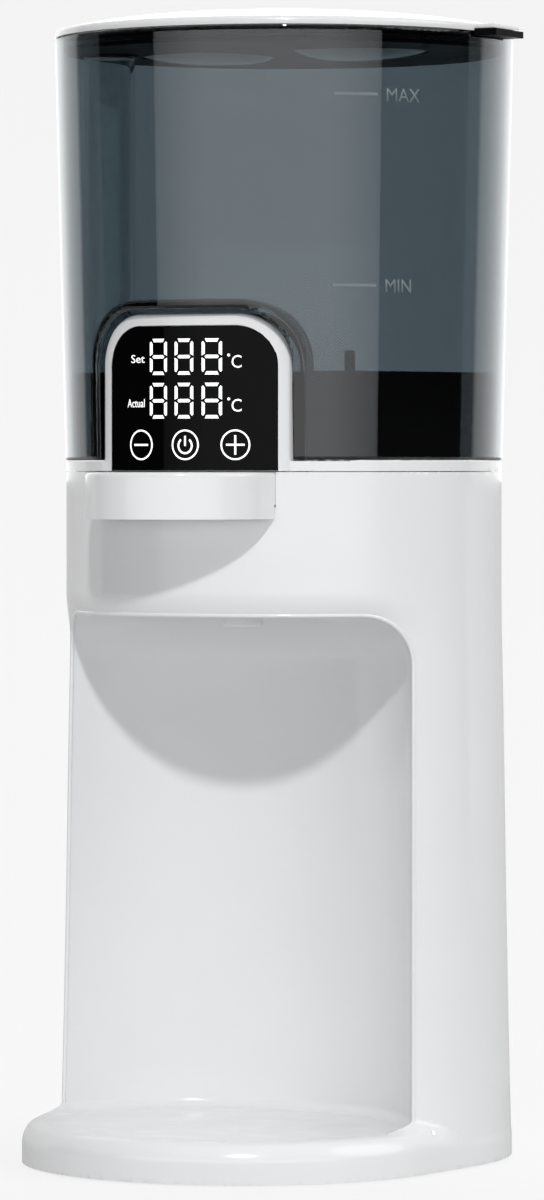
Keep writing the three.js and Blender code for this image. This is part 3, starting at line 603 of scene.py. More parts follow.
def rear_holes(x, y, z, f):
    for deg in REAR_SCREWS:
        a, b, out = radial(x, y, z, deg)
        d = hyp(a, b)
        R = float(tower_r(REAR_SCREW_Z))
        hole = np.maximum(d - 1.65, 60 - out)
        recess = np.maximum(d - 3.5, (R - 1.45) - out)
        f = np.maximum(f, -np.minimum(hole, recess))
    return f


def shell_f(x, y, z):
    b = body_f(x, y, z)
    r = hyp(x, y)
    R = tower_r(z)
    f = np.maximum(b, -(b + WALL))
    cut = np.maximum(np.maximum(wedge(x, y, 122), 8.0 - z), 60 - r)
    f = np.maximum(f, -cut)
    strip = np.maximum(np.abs(r - (R - 4.1)) - 1.3, np.maximum(wedge(x, y, 116), -wedge(x, y, 130)))
    root = np.maximum(np.abs(r - (R - 3.4)) - 2.0, np.maximum(wedge(x, y, 116), -wedge(x, y, 121.6)))
    f = np.minimum(f, np.maximum(np.minimum(strip, root), slab(z, 12, 246)))
    for sx, sy in SCREWS_FRONT + SCREWS_BACK:
        d = hyp(x - sx, y - sy)
        boss = np.maximum(np.maximum(d - 4.5, slab(z, 4.8, 14.0 if sy < 0 else 20)), b + 1.0)
        f = np.maximum(np.minimum(f, boss), -np.maximum(d - 1.65, slab(z, 4, 12.5)))
    for sx, sz, rr in ((-42, 143, 4.0), (-8, 143, 4.0), (14, 145, 3.5), (52, 145, 3.5)):
        d = hyp(x - sx, z - sz)
        wy = ALCOVE_Y + math.sqrt(ALCOVE_R**2 - sx * sx)
        f = np.minimum(f, np.maximum(np.maximum(d - rr, b + 0.8), slab(y, wy, 13.7)))
        f = np.maximum(f, -np.maximum(np.maximum(d - 1.65, b + 3.2), slab(y, wy, 20)))
    # Opening of the lever: its sill lies as low as the lever's swing needs at each point.
    sill = 239.2 - (np.sqrt(6400 - np.clip(x, -35, 35) ** 2) - 61.5) * 0.0524
    f = np.maximum(f, -np.maximum(np.maximum(np.abs(x) - 34.12, np.maximum(y + 60, -95 - y)), sill - z))
    f = np.maximum(f, -np.maximum(hyp(x, y - NOZZLE_Y) - (NOZZLE_R + 0.2), slab(z, 185, 212)))
    f = rear_holes(x, y, z, f)
    return np.maximum(f, np.maximum(z - SEAM_Z, 0.6 - z))


def cover_f(x, y, z):
    r = hyp(x, y)
    f = np.abs(r - (tower_r(z) - WALL / 2)) - WALL / 2
    f = np.maximum(f, np.maximum(wedge(x, y, 122) + 0.3, slab(z, 8.3, SEAM_Z)))
    hole = inter_r(slab(x, -13.8, 13.8), slab(z, 19.2, 38.8), 2.0)
    f = np.maximum(f, -np.maximum(hole, 50 - y))
    return rear_holes(x, y, z, f)


shell = field_piece("shell", shell_f, (-84.2, -112.9, 0.8), (84.2, 84.2, 251.2), 1.3, "housing", WHITE, ["front_shell"])
ease(shell, (73.7, -18.2, 14.4), 2.6)
field_piece("rear_panel", cover_f, (-71.5, 42, 8), (71.5, 84.2, 251.2), 1.3, "housing", WHITE, ["rear_cover"])


def deck_f(x, y, z):
    r = hyp(x, y)
    disc = np.maximum(r - 80.0, slab(z, 251.4, 254.4))
    collar = np.maximum(np.abs(r - 78.9) - 1.1, slab(z, 251.4, 255.0))
    spigot = np.maximum(np.maximum(np.abs(r - 76.0) - 1.1, slab(z, 246.5, 251.9)), -np.maximum(-wedge(x, y, 34), z - 251.3))
    f = np.minimum(np.minimum(disc, collar), spigot)
    # The display stands a little behind the wall, so the collar stops at each side of it.
    f = np.maximum(f, -np.maximum(np.maximum(np.abs(x) - ARCH_HALF, y + 60), DISPLAY_R - r))
    arch = inter_r(arch_f(x, z, ARCH_HALF, 251.4, ARCH_TOP, ARCH_CORNER), r - DISPLAY_R, 1.2)
    arch = np.maximum(arch, y - ARCH_BACK_Y)
    f = np.minimum(f, arch)
    recess = np.maximum(
        arch_f(x, z, GLASS_HALF + 0.25, 248, GLASS_TOP + 0.25, GLASS_CORNER + 0.25),
        np.maximum(DISPLAY_R - GLASS_T - 0.3 - r, y + 60),
    )
    f = np.maximum(f, -recess)
    hollow = np.maximum(arch_f(x, z, GLASS_HALF - 1.8, 254.4, GLASS_TOP - 1.8, GLASS_CORNER - 1.8), y - (ARCH_BACK_Y - WALL))
    f = np.maximum(f, -hollow)
    f = np.maximum(f, -box_f(x, y, z, -10, 10, -72.5, -65, 250, 256))
    f = np.maximum(f, -np.maximum(hyp(x, y - OUTLET_Y) - 7.3, slab(z, 245, 258)))
    for s in (-1, 1):
        x0, x1 = (34.5, 38.8) if s > 0 else (-38.8, -34.5)
        f = np.minimum(f, box_f(x, y, z, x0, x1, HINGE_Y - 4, HINGE_Y + 4, HINGE_Z - 4, 251.9))
    return np.maximum(f, -np.maximum(hyp(y - HINGE_Y, z - HINGE_Z) - 1.9, np.abs(x) - 37.8))


deck = field_piece("deck", deck_f, (-80, -80, 241), (80, 80, 307.7), 1.05, "housing", WHITE, ["top_deck"])
# The display frame's side faces are black behind its pale front.
second_look(
    deck, BLACK_SIDE,
    lambda x, y, z: (np.abs(arch_f(x, z, ARCH_HALF, 251.4, ARCH_TOP, ARCH_CORNER)) < 0.45) & (hyp(x, y) < DISPLAY_R - 2.2) & (z > 255.6),
)


def glass_f(x, y, z):
    r = hyp(x, y)
    f = inter_r(arch_f(x, z, GLASS_HALF, 251.7, GLASS_TOP, GLASS_CORNER), np.abs(r - (DISPLAY_R - GLASS_T / 2)) - GLASS_T / 2, 0.0)
    return np.maximum(f, y + 60)


field_piece("display_panel", glass_f, (-33.7, -77.7, 251.6), (33.7, -67.6, 303.3), 0.65, "housing", GLASS_BLACK, ["display_glass"])


def lever_f(x, y, z):
    plan = np.where(y < LEVER_Y, hyp(x, y - LEVER_Y) - LEVER_R, np.abs(x) - LEVER_R)
    solid = inter_r(plan, z - SEAM_Z, 1.5)
    solid = np.maximum(solid, np.maximum(LEVER_LOW - z, y + 66.0))
    inner = np.maximum(np.maximum(plan + 2.2, z - (SEAM_Z - 2.3)), LEVER_LOW + 2.2 - z)
    f = np.maximum(solid, -np.maximum(inner, y + 50))
    # Below the opening in the wall, the lever ends just in front of the wall.
    f = np.maximum(f, -np.maximum(hyp(x, y) - 80.2 - (245 - z) * 0.056, z - 239.4))
    for s in (-1, 1):
        x0, x1 = (31.8, 34.0) if s > 0 else (-34.0, -31.8)
        f = np.minimum(f, box_f(x, y, z, x0, x1, -66.5, -56, 240.5, 249.6))
    f = np.minimum(f, box_f(x, y, z, -32.5, 32.5, -58, -56, 240.5, 246))
    f = np.minimum(f, box_f(x, y, z, -8, 8, -57, -43, 241.4, 244))
    return np.maximum(f, -np.maximum(hyp(y - HINGE_Y, z - HINGE_Z) - 1.9, np.abs(x) - 40))


field_piece("press_lever", lever_f, (-34.1, -114.1, 234.3), (34.1, -42.9, 251.2), 0.9, "lever", WHITE, ["dispense_lever"])

piece(
    "spout",
    lathe_mesh(
        "spout",
        rounded(
            [(2.6, 195.0), (7.7, 195.0), (7.7, 202.8), (10.5, 202.8), (10.5, 204.8), (3.2, 204.8), (3.2, 212), (2.0, 212), (2.0, 206), (2.6, 204)],
            [0, 1.3, 0, 0.3, 0.3, 0, 0.3, 0, 0, 0],
        ),
        0, NOZZLE_Y, 64,
    ),
    "housing", WHITE, ["nozzle"],
)


# ---------------------------------------------------------------- alcove's rim
def rim_line():
    """Along the alcove's edge: up one side, over the top and down the other."""
    half = []
    for z in np.linspace(16.0, 182.0, 62):
        half.append((0.0, z))
    for q in np.linspace(0, np.pi / 2, 14)[1:]:
        half.append((-18.0 * (1 - math.cos(q)), 182.0 + 18.0 * math.sin(q)))
    side_pts = []
    for w, z in half:
        rho, big = float(tower_r(z)) - 2.3, ALCOVE_R + w
        yy = (big * big - rho * rho - ALCOVE_Y**2) / (-2 * ALCOVE_Y)
        side_pts.append((math.sqrt(rho * rho - yy * yy), yy, z))
    xe, ye, ze = side_pts[-1]
    rho = math.hypot(xe, ye)
    t0 = math.asin(xe / rho)
    top = [(rho * math.sin(t), -rho * math.cos(t), ze) for t in np.linspace(t0, -t0, 60)[1:-1]]
    return side_pts + top + [(-a, b, c) for a, b, c in side_pts[::-1]]


piece("alcove_rim", tube_mesh("alcove_rim", rim_line(), 0.75, 10), "housing", WHITE)


# ---------------------------------------------------------------- tank
def tank_r(z):
    return TANK_R_LOW + (TANK_R_RIM - TANK_R_LOW) * (z - TANK_LOW) / (TANK_RIM - TANK_LOW)


def pocket_f(x, y, z, grow):
    """The space that the display frame stands in, grown by grow."""
    a = arch_f(x, z, ARCH_HALF + 1.2 + grow, 200, ARCH_TOP + 1.6 + grow, ARCH_CORNER + 1.2 + grow)
    return inter_r(a, y - (-57.8 + grow), 1.0 + grow)


def tank_f(x, y, z):
    r = hyp(x, y)
    out = r - tank_r(z)
    solid = cut_r(out, pocket_f(x, y, z, 0.0), 0.9)
    inner = cut_r(out + TANK_WALL, pocket_f(x, y, z, TANK_WALL), 1.2)
    f = np.maximum(solid, -inner)
    f = np.maximum(f, -box_f(x, y, z, 70, 100, -12.2, 12.2, 407.6, 420))
    return inter_r(f, slab(z, TANK_LOW, TANK_RIM), 0.7)


tank = field_piece("tank_wall", tank_f, (-84.2, -84.2, 255.2), (84.2, 84.2, 409.5), 1.2, "tank", SMOKE, ["tank_shell"])


# The pocket's walls look darker than the rest, because more plastic lies in the way there.
second_look(
    tank, SMOKE_RIB,
    lambda x, y, z: (np.minimum(np.abs(pocket_f(x, y, z, 0.0)), np.abs(pocket_f(x, y, z, TANK_WALL))) < 0.5) & (hyp(x, y) < tank_r(z) - 0.4),
)


def cup_f(x, y, z):
    r = hyp(x, y)
    out = r - tank_r(z) + TANK_WALL + 0.3
    solid = cut_r(out, pocket_f(x, y, z, TANK_WALL + 0.3), 1.0)
    inner = cut_r(out + 2.2, pocket_f(x, y, z, TANK_WALL + 2.5), 1.0)
    inner = inter_r(inner, CUP_LOW + 2.4 - z, 3.0)
    f = np.maximum(solid, -inner)
    f = inter_r(f, slab(z, CUP_LOW, CUP_TOP), 0.5)
    d = hyp(x, y - OUTLET_Y)
    f = np.minimum(f, np.maximum(d - 8.6, slab(z, CUP_LOW, 264)))
    f = np.maximum(f, -np.maximum(d - 5.3, slab(z, 250, 270)))
    for s in (-1, 1):
        x0, x1 = (9.6, 12) if s > 0 else (-12, -9.6)
        f = np.minimum(f, box_f(x, y, z, x0, x1, OUTLET_Y - 2.5, OUTLET_Y + 2.5, 257.5, 280))
    f = np.minimum(f, box_f(x, y, z, -12, 12, OUTLET_Y - 2.5, OUTLET_Y + 2.5, 278, 280.4))
    return np.maximum(f, -np.maximum(d - 2.2, slab(z, 270, 290)))


field_piece("tank_cup", cup_f, (-79, -79, 255.4), (79, 79, 287.4), 1.2, "tank", BLACK, ["tank_floor"])

cx, cy = COLUMN
piece(
    "column",
    lathe_mesh("column", [(COLUMN_R - 1.5, 258.3), (COLUMN_R, 258.3), (COLUMN_R, 402.6), (COLUMN_R - 1.5, 402.6)], cx, cy, 64),
    "tank", GLASSY, ["vent_column"],
)
piece(
    "column_cap",
    lathe_mesh(
        "column_cap",
        rounded([(0, 402.9), (COLUMN_R, 402.9), (COLUMN_R, 405.2), (6.2, 406.2), (5.2, 408.9), (0, 408.9)], [0, 0.4, 0.8, 0.8, 0.8, 0]),
        cx, cy, 64,
    ),
    "tank", GLASSY, ["vent_cap"],
)
piece(
    "gauge_post",
    lathe_mesh("gauge_post", rounded([(0, 258.3), (2.0, 258.3), (2.0, 295.8), (0, 295.8)], [0, 0.2, 2.0, 0], 8), 21, 12, 32),
    "tank", BLACK, ["level_post"],
)


# ---------------------------------------------------------------- lid
def scoop_f(x, y, z, s, grow):
    """Finger bowl: steep beside the ridge between the two bowls, gently sloped towards the rim."""
    u = s * x - 24
    A, B, C = np.where(u > 0, 44 + grow, 20 + grow), 34 + grow, 15.3 + grow
    w = z - 418.6
    # Between an ellipsoid and a box: the bottom is flatter and the sides are fuller.
    q = np.sqrt((u / A) ** 2 + (y / B) ** 2)
    k0 = (q**2.6 + np.abs(w / C) ** 2.6) ** (1 / 2.6)
    n = np.maximum(k0, 1e-3)
    du, dv = (u / A**2) / np.maximum(q, 1e-3), (y / B**2) / np.maximum(q, 1e-3)
    gq, gw = (q / n) ** 1.6, (np.abs(w / C) / n) ** 1.6
    k1 = np.sqrt((gq * du) ** 2 + (gq * dv) ** 2 + (gw / C) ** 2)
    return (k0 - 1.0) / np.maximum(k1, 1e-3)


def dome_z(r, top):
    return LID_BAND + (top - LID_BAND) * (1 - np.clip(r / LID_R, 0, 1) ** 3)


def lid_f(x, y, z):
    r = hyp(x, y)
    up = (z - dome_z(r, LID_TOP)) / 1.03
    out = inter_r(r - LID_R, up, 1.1)
    inner = np.maximum(r - (LID_R - 2.2), (z - dome_z(r, LID_TOP) + 2.2) / 1.03)
    bowls = np.minimum(scoop_f(x, y, z, -1, 0), scoop_f(x, y, z, 1, 0))
    shell = np.minimum(scoop_f(x, y, z, -1, 1.8), scoop_f(x, y, z, 1, 1.8))
    f = np.maximum(np.maximum(out, LID_LOW - z), -inner)
    f = np.minimum(f, np.maximum(shell, out))
    f = cut_r(f, bowls, 1.5)
    f = np.maximum(f, -box_f(x, y, z, 70, 100, -11.9, 11.9, 400, 410.7))
    return np.minimum(f, box_f(x, y, z, 80, 90.4, -10.6, 10.6, 410.75, 412.2))


field_piece("lid_top", lid_f, (-84.2, -84.2, 401.2), (90.5, 84.2, 419.1), 0.95, "lid", WHITE_LID, ["lid_cover"])


def tray_f(x, y, z):
    r = hyp(x, y)
    rim = np.maximum(r - TRAY_R, slab(z, TRAY_LOW, 409.5))
    groove = np.maximum(TRAY_R - 1.6 - r, slab(z, 405.4, 407.6))
    inside = np.maximum(r - (TRAY_R - 3.4), TRAY_LOW + 1.8 - z)
    f = np.maximum(np.maximum(rim, -groove), -inside)
    well = np.maximum(hyp(x - cx, y - cy) - (COLUMN_R + 1.3), r - (TRAY_R - 3.4))
    f = np.maximum(f, -well)
    bowls = np.minimum(scoop_f(x, y, z, -1, 2.1), scoop_f(x, y, z, 1, 2.1))
    f = np.maximum(f, -bowls)
    tongue = box_f(x, y, z, 76, 91.7, -11.5, 11.5, 408.0, 410.4)
    return np.minimum(f, np.maximum(tongue, TRAY_R - 3.4 - r))


field_piece("lid_pan", tray_f, (-81, -81, 404.0), (91.8, 81, 410.5), 0.85, "lid", SMOKE_DARK, ["lid_tray"])
piece(
    "lid_seal",
    lathe_mesh("lid_seal", rounded([(TRAY_R - 1.3, 405.8), (TRAY_R + 0.25, 405.8), (TRAY_R + 0.25, 407.2), (TRAY_R - 1.3, 407.2)], [0, 0.6, 0.6, 0]), 0, 0, 128),
    "lid", SILICONE, ["lid_gasket"],
)


# ---------------------------------------------------------------- symbols
def bend(flat, radius, lift):
    """Flat shapes (arc length from the front, height, depth) laid on a round wall; depth 0 is the wall."""
    flat = np.asarray(flat, float)
    s, z, d = flat[:, 0], flat[:, 1], flat[:, 2]
    rad = radius(z) if callable(radius) else radius
    t = s / rad
    rr = rad + d + lift
    return np.stack([rr * np.sin(t), -rr * np.cos(t), z], 1)


class Marks:
    """Thin raised shapes, gathered in one closed mesh."""

    def __init__(self):
        self.v, self.f = [], []

    def plate(self, outline, holes=None, t=0.1, cuts=1):
        """A prism over an outline given as (s, z) pairs, as a strip between two lines if holes is a second line."""
        o = len(self.v)
        n = len(outline)
        if holes is None:
            for d in (0, t):
                self.v += [(p[0], p[1], d) for p in outline]
            self.f.append(tuple(o + i for i in range(n))[::-1])
            self.f.append(tuple(o + n + i for i in range(n)))
            for i in range(n):
                j = (i + 1) % n
                self.f.append((o + i, o + j, o + n + j, o + n + i))
            return
        # Strip between an outer and an inner line; closed rings join their ends.
        closed = cuts == 1
        for line in (outline, holes):
            for d in (0, t):
                self.v += [(p[0], p[1], d) for p in line]
        a, b, c, e = o, o + n, o + 2 * n, o + 3 * n
        last = n if closed else n - 1
        for i in range(last):
            j = (i + 1) % n
            self.f.append((a + i, a + j, b + j, b + i))
            self.f.append((c + j, c + i, e + i, e + j))
            self.f.append((b + i, b + j, e + j, e + i))
            self.f.append((a + j, a + i, c + i, c + j))
        if not closed:
            self.f.append((a, b, e, c))
            i = n - 1
            self.f.append((a + i, c + i, e + i, b + i))

    def ring(self, s, z, r1, r0, a0=0.0, a1=360.0, n=48, t=0.1):
        full = abs(a1 - a0) > 359.9
        k = n if full else n + 1
        ang = [math.radians(a0 + (a1 - a0) * i / n) for i in range(k)]
        outer = [(s + r1 * math.cos(q), z + r1 * math.sin(q)) for q in ang]
        inner = [(s + r0 * math.cos(q), z + r0 * math.sin(q)) for q in ang]
        self.plate(outer, inner, t, 1 if full else 0)

    def bar(self, s0, s1, z0, z1, r=0.2, t=0.1):
        p = []
        for cx0, cz0, q0 in ((s1 - r, z0 + r, -90), (s1 - r, z1 - r, 0), (s0 + r, z1 - r, 90), (s0 + r, z0 + r, 180)):
            for i in range(5):
                q = math.radians(q0 + 90 * i / 4)
                p.append((cx0 + r * math.cos(q), cz0 + r * math.sin(q)))
        # Cut into narrow plates, so that it follows the round wall.
        if s1 - s0 < 3:
            self.plate(p, None, t)
            return
        parts = int((s1 - s0) / 1.5) + 1
        self.strip([(s0 + (s1 - s0) * i / parts, z0) for i in range(parts + 1)], [(s0 + (s1 - s0) * i / parts, z1) for i in range(parts + 1)], t)

    def strip(self, low, high, t=0.1):
        o = len(self.v)
        n = len(low)
        for line in (low, high):
            for d in (0, t):
                self.v += [(p[0], p[1], d) for p in line]
        a, b, c, e = o, o + n, o + 2 * n, o + 3 * n
        for i in range(n - 1):
            self.f.append((a + i, c + i, c + i + 1, a + i + 1))
            self.f.append((b + i, b + i + 1, e + i + 1, e + i))
            self.f.append((a + i, a + i + 1, b + i + 1, b + i))
            self.f.append((c + i + 1, c + i, e + i, e + i + 1))
        self.f.append((a, b, e, c))
        i = n - 1
        self.f.append((a + i, c + i, e + i, b + i))

    def text(self, words, s0, s1, z0, z1, t=0.1, bold=0.0):
        """Generic lettering, scaled to lie between s0 and s1, on the line z0, with capitals up to z1."""
        cu = bpy.data.curves.new("words", "FONT")
        cu.body = words
        cu.extrude = 0.5
        cu.offset = bold
        cu.resolution_u = 3
        ob = bpy.data.objects.new("words", cu)
        bpy.context.scene.collection.objects.link(ob)
        bpy.context.view_layer.update()
        me = bpy.data.meshes.new_from_object(ob.evaluated_get(bpy.context.evaluated_depsgraph_get()))
        co = np.array([v.co for v in me.vertices], float)
        lo, hi = co.min(0), co.max(0)
        cap = 0.729 if not words.startswith("C") else hi[1]
        o = len(self.v)
        for p in co:
            self.v.append((s0 + (p[0] - lo[0]) / (hi[0] - lo[0]) * (s1 - s0), z0 + p[1] / cap * (z1 - z0), (p[2] + 0.5) * t))
        for q in me.polygons:
            self.f.append(tuple(o + i for i in q.vertices))
        bpy.data.objects.remove(ob)
        bpy.data.meshes.remove(me)
        bpy.data.curves.remove(cu)

    def mesh(self, name, radius, lift):
        import bmesh

        me = poly_mesh(name, bend(self.v, radius, lift), self.f, 40)
        bm = bmesh.new()
        bm.from_mesh(me)
        bmesh.ops.remove_doubles(bm, verts=bm.verts, dist=1e-7)
        bmesh.ops.recalc_face_normals(bm, faces=bm.faces)
        bm.to_mesh(me)
        bm.free()
        return me


def arc(deg):
    return math.radians(deg) * DISPLAY_R


def eight(m, s0, s1, z0, z1, w=1.2):
    """A seven-segment eight: short bars with blunt, slanted ends that stand clear of each other."""
    zm = (z0 + z1) / 2
    h = w / 2

    def across(zc, lean):
        a, b = s0 + 1.25, s1 - 1.25
        if lean > 0:
            m.plate([(a + 0.55, zc - h), (b - 0.55, zc - h), (b + 0.05, zc + h), (a - 0.05, zc + h)])
        elif lean < 0:
            m.plate([(a - 0.05, zc - h), (b + 0.05, zc - h), (b - 0.55, zc + h), (a + 0.55, zc + h)])
        else:
            m.plate([(a - 0.1, zc), (a + 0.45, zc - h), (b - 0.45, zc - h), (b + 0.1, zc), (b - 0.45, zc + h), (a + 0.45, zc + h)])

    def down(sc, out, za, zb, low):
        # The slanted end at the middle bar, and the cut corner at the top or bottom bar.
        o, i = sc + out * h, sc - out * h
        if low:
            pts = [(o, za + 1.3), (o, zb - 0.35), (i, zb - 1.0), (i, za + 1.85), (sc, za + 0.95)]
        else:
            pts = [(o, za + 0.35), (o, zb - 1.3), (sc, zb - 0.95), (i, zb - 1.85), (i, za + 1.0)]
        m.plate(pts if out > 0 else pts[::-1])

    across(z0 + h, -1)
    across(zm, 0)
    across(z1 - h, 1)
    for sc, out in ((s0 + h, -1), (s1 - h, 1)):
        down(sc, out, z0, zm, True)
        down(sc, out, zm, z1, False)


sym = Marks()
for z0, z1 in ((285.8, 298.7), (270.2, 282.9)):
    for a0, a1 in ((-10.76, -5.2), (-2.77, 2.77), (5.2, 10.9)):
        eight(sym, arc(a0), arc(a1), z0, z1)
    zc = z0 + 2.4
    sym.ring(arc(12.72), zc + 4.5, 0.52, 0.2, n=18)
    sym.text("C", arc(13.5), arc(16.2), zc, zc + 4.5)
sym.text("Set", arc(-17.5), arc(-12.6), 290.2, 293.2)
sym.text("Actual", arc(-18.9), arc(-12.6), 274.3, 277.4)
for a in (-13.9, 0.35, 14.5):
    sym.ring(arc(a), 260.8, 5.45, 4.85, n=64)
sym.bar(arc(-13.9) - 3.3, arc(-13.9) + 3.3, 260.45, 261.15)
sym.bar(arc(14.5) - 3.4, arc(14.5) - 0.36, 260.45, 261.15, r=0.05)
sym.bar(arc(14.5) + 0.36, arc(14.5) + 3.4, 260.45, 261.15, r=0.05)
sym.plate([(arc(14.5) - 0.36, 257.3), (arc(14.5) + 0.36, 257.3), (arc(14.5) + 0.36, 264.2), (arc(14.5) - 0.36, 264.2)])
sym.ring(arc(0.35), 260.5, 3.05, 2.35, a0=128, a1=412, n=40)
sym.plate([(arc(0.35) - 0.36, 260.4), (arc(0.35) + 0.36, 260.4), (arc(0.35) + 0.36, 264.0), (arc(0.35) - 0.36, 264.0)])
piece("symbols", sym.mesh("symbols", DISPLAY_R, 0.0), "housing", LIT)

scale = Marks()
wall = lambda z: TANK_R_LOW + (TANK_R_RIM - TANK_R_LOW) * (z - TANK_LOW) / (TANK_RIM - TANK_LOW)


def arc_at(deg, z):
    return math.radians(deg) * wall(z)


for z, a0, a1, w0, w1, words in ((385.3, 39.7, 50.9, 53.3, 62.8, "MAX"), (317.5, 39.5, 51.0, 53.6, 61.0, "MIN")):
    along = [arc_at(a, z) for a in np.linspace(a0, a1, 17)]
    scale.strip([(q, z - 0.5) for q in along], [(q, z + 0.5) for q in along])
    scale.text(words, arc_at(w0, z), arc_at(w1, z), z - 2.5, z + 2.5)
piece("scale_marks", scale.mesh("scale_marks", wall, 0.0), "tank", PRINT)

# ---------------------------------------------------------------- stage
CAM_AZ = math.radians(27.4)
axis_xy = SHIFT[:2] / 1000
side = np.array([math.sin(CAM_AZ), -math.cos(CAM_AZ)])  # from the axis towards the camera
right = np.array([math.cos(CAM_AZ), math.sin(CAM_AZ)])


def around(deg, dist, z):
    """A point at an angle from the camera's side of the axis, positive to the camera's right."""
    t = math.radians(deg)
    p = axis_xy + dist * (side * math.cos(t) + right * math.sin(t))
    return Vector((p[0], p[1], z))


def plain_light(name, strength, colour=(1, 1, 1)):
    m = bpy.data.materials.new(name)
    m.use_nodes = True
    nt = m.node_tree
    nt.nodes.clear()
    out = nt.nodes.new("ShaderNodeOutputMaterial")
    emi = nt.nodes.new("ShaderNodeEmission")
    emi.inputs["Color"].default_value = (*colour, 1)
    emi.inputs["Strength"].default_value = strength
    nt.links.new(emi.outputs[0], out.inputs["Surface"])
    return m


def paper(name, glow_strength, albedo):
    m = plain_light(name, glow_strength)
    nt = m.node_tree
    emi = next(n for n in nt.nodes if n.type == "EMISSION")
    out = next(n for n in nt.nodes if n.type == "OUTPUT_MATERIAL")
    mix = nt.nodes.new("ShaderNodeAddShader")
    dif = nt.nodes.new("ShaderNodeBsdfDiffuse")
    dif.inputs["Color"].default_value = (albedo, albedo, albedo, 1)
    nt.links.new(dif.outputs[0], mix.inputs[0])
    nt.links.new(emi.outputs[0], mix.inputs[1])
    nt.links.new(mix.outputs[0], out.inputs["Surface"])
    return m


def stage_mesh(name, verts, faces, mat, seen=(), shadow=False):
    """A piece of the studio; seen lists the kinds of rays that meet it."""
    me = bpy.data.meshes.new(name)
    me.from_pydata([tuple(v) for v in verts], [], faces)
    me.polygons.foreach_set("use_smooth", np.ones(len(me.polygons), bool))
    me.materials.append(mat)
    ob = bpy.data.objects.new(name, me)
    bpy.context.scene.collection.objects.link(ob)
    for kind in ("camera", "diffuse", "glossy", "transmission"):
        setattr(ob, "visible_" + kind, kind in seen)
    ob.visible_shadow = shadow
    ob.visible_volume_scatter = False
    return ob


def ring_of(radius, z, n=64):
    return [(axis_xy[0] + radius * math.cos(2 * math.pi * i / n), axis_xy[1] + radius * math.sin(2 * math.pi * i / n), z) for i in range(n)]


def bowl(rows, n=64):
    """Rings joined from a centre point outwards."""
    v = [(axis_xy[0], axis_xy[1], rows[0][1])]
    f = [(0, 1 + i, 1 + (i + 1) % n) for i in range(n)]
    for k, (rad, z) in enumerate(rows):
        v += ring_of(rad, z, n)
        if k:
            a, b = 1 + (k - 1) * n, 1 + k * n
            f += [(a + i, b + i, b + (i + 1) % n, a + (i + 1) % n) for i in range(n)]
    return v, f


# The pale paper that the camera sees, as a wide floor that curves up all round, and the softer paper below it that
# throws light back at the object.
BACKDROP = 0.93
rows = [(0.12 + 0.44 * i, 0.0) for i in range(16)]
rows += [(6.74 + 2.7 * math.sin(q), 2.7 - 2.7 * math.cos(q)) for q in [math.pi / 2 * i / 16 for i in range(1, 17)]]
rows += [(9.44, 12.0)]
stage_mesh("floor_paper", *bowl(rows), paper("floor_paper", 0.725, 0.22), ("camera",))
# What shows through the clear tank: the paper behind it only, so that its front stays free of stray reflections.
back = []
for k in range(25):
    a = 180 + (k - 12) * 6
    back += [around(a, 9.4, 0.0), around(a, 9.4, 12.0), around(a, 0.35, 0.0)]
stage_mesh(
    "back_paper", back,
    [(3 * k, 3 * k + 1, 3 * k + 4, 3 * k + 3) for k in range(24)] + [(3 * k, 3 * k + 3, 3 * k + 5, 3 * k + 2) for k in range(24)],
    plain_light("back_paper", BACKDROP), ("transmission",),
)
stage_mesh("bounce_paper", *bowl([(0.3, -0.002), (1.2, -0.002), (2.6, -0.002)]), paper("bounce_paper", 0.27, 0.3), ("diffuse", "glossy"))

# A dimmer paper low behind the object keeps the white tower's edges from shining; the tank above it keeps its bright rims.
low = []
for k in range(31):
    t = (k - 15) * 5.4
    low += [around(180 + t, 0.30, 0.247), around(180 + t, 0.30, 0.001)]
stage_mesh(
    "low_back", low, [(2 * k, 2 * k + 2, 2 * k + 3, 2 * k + 1) for k in range(30)],
    plain_light("low_back", 0.62), ("glossy",),
)

# Front panel: a wide, low curved light that the glossy walls mirror.
m = bpy.data.materials.new("panel_light")
m.use_nodes = True
nt = m.node_tree
nt.nodes.clear()
out = nt.nodes.new("ShaderNodeOutputMaterial")
emi = nt.nodes.new("ShaderNodeEmission")
tc = nt.nodes.new("ShaderNodeTexCoord")
sep = nt.nodes.new("ShaderNodeSeparateXYZ")
uvn = nt.nodes.new("ShaderNodeUVMap")
uvn.uv_map = "across"
nt.links.new(uvn.outputs["UV"], sep.inputs[0])
cr = nt.nodes.new("ShaderNodeValToRGB")
e = cr.color_ramp.elements
e[0].position, e[0].color = 0.0, (0.45, 0.45, 0.45, 1)
e[1].position, e[1].color = 1.0, (0.53, 0.53, 0.53, 1)
for pos, val in ((0.10, 0.7), (0.22, 0.97), (0.35, 1.0), (0.774, 1.0), (0.905, 0.75)):
    x = e.new(pos)
    x.color = (val, val, val, 1)
nt.links.new(sep.outputs["X"], cr.inputs["Fac"])
nt.links.new(cr.outputs["Color"], emi.inputs["Color"])
emi.inputs["Strength"].default_value = 1.9
nt.links.new(emi.outputs[0], out.inputs["Surface"])
v, f, uv = [], [], []
N = 40
for i in range(N + 1):
    a = -66.6 + (48.5 + 66.6) * i / N
    for z in (0.165, 0.47):
        v.append(around(a, 1.5, z))
        uv.append((i / N, z))
for i in range(N):
    f.append((2 * i, 2 * i + 1, 2 * i + 3, 2 * i + 2))
panel = stage_mesh("front_panel", v, f, m, ("diffuse", "glossy", "transmission"))
layer = panel.data.uv_layers.new(name="across")
for lp in panel.data.loops:
    layer.data[lp.index].uv = uv[lp.vertex_index]



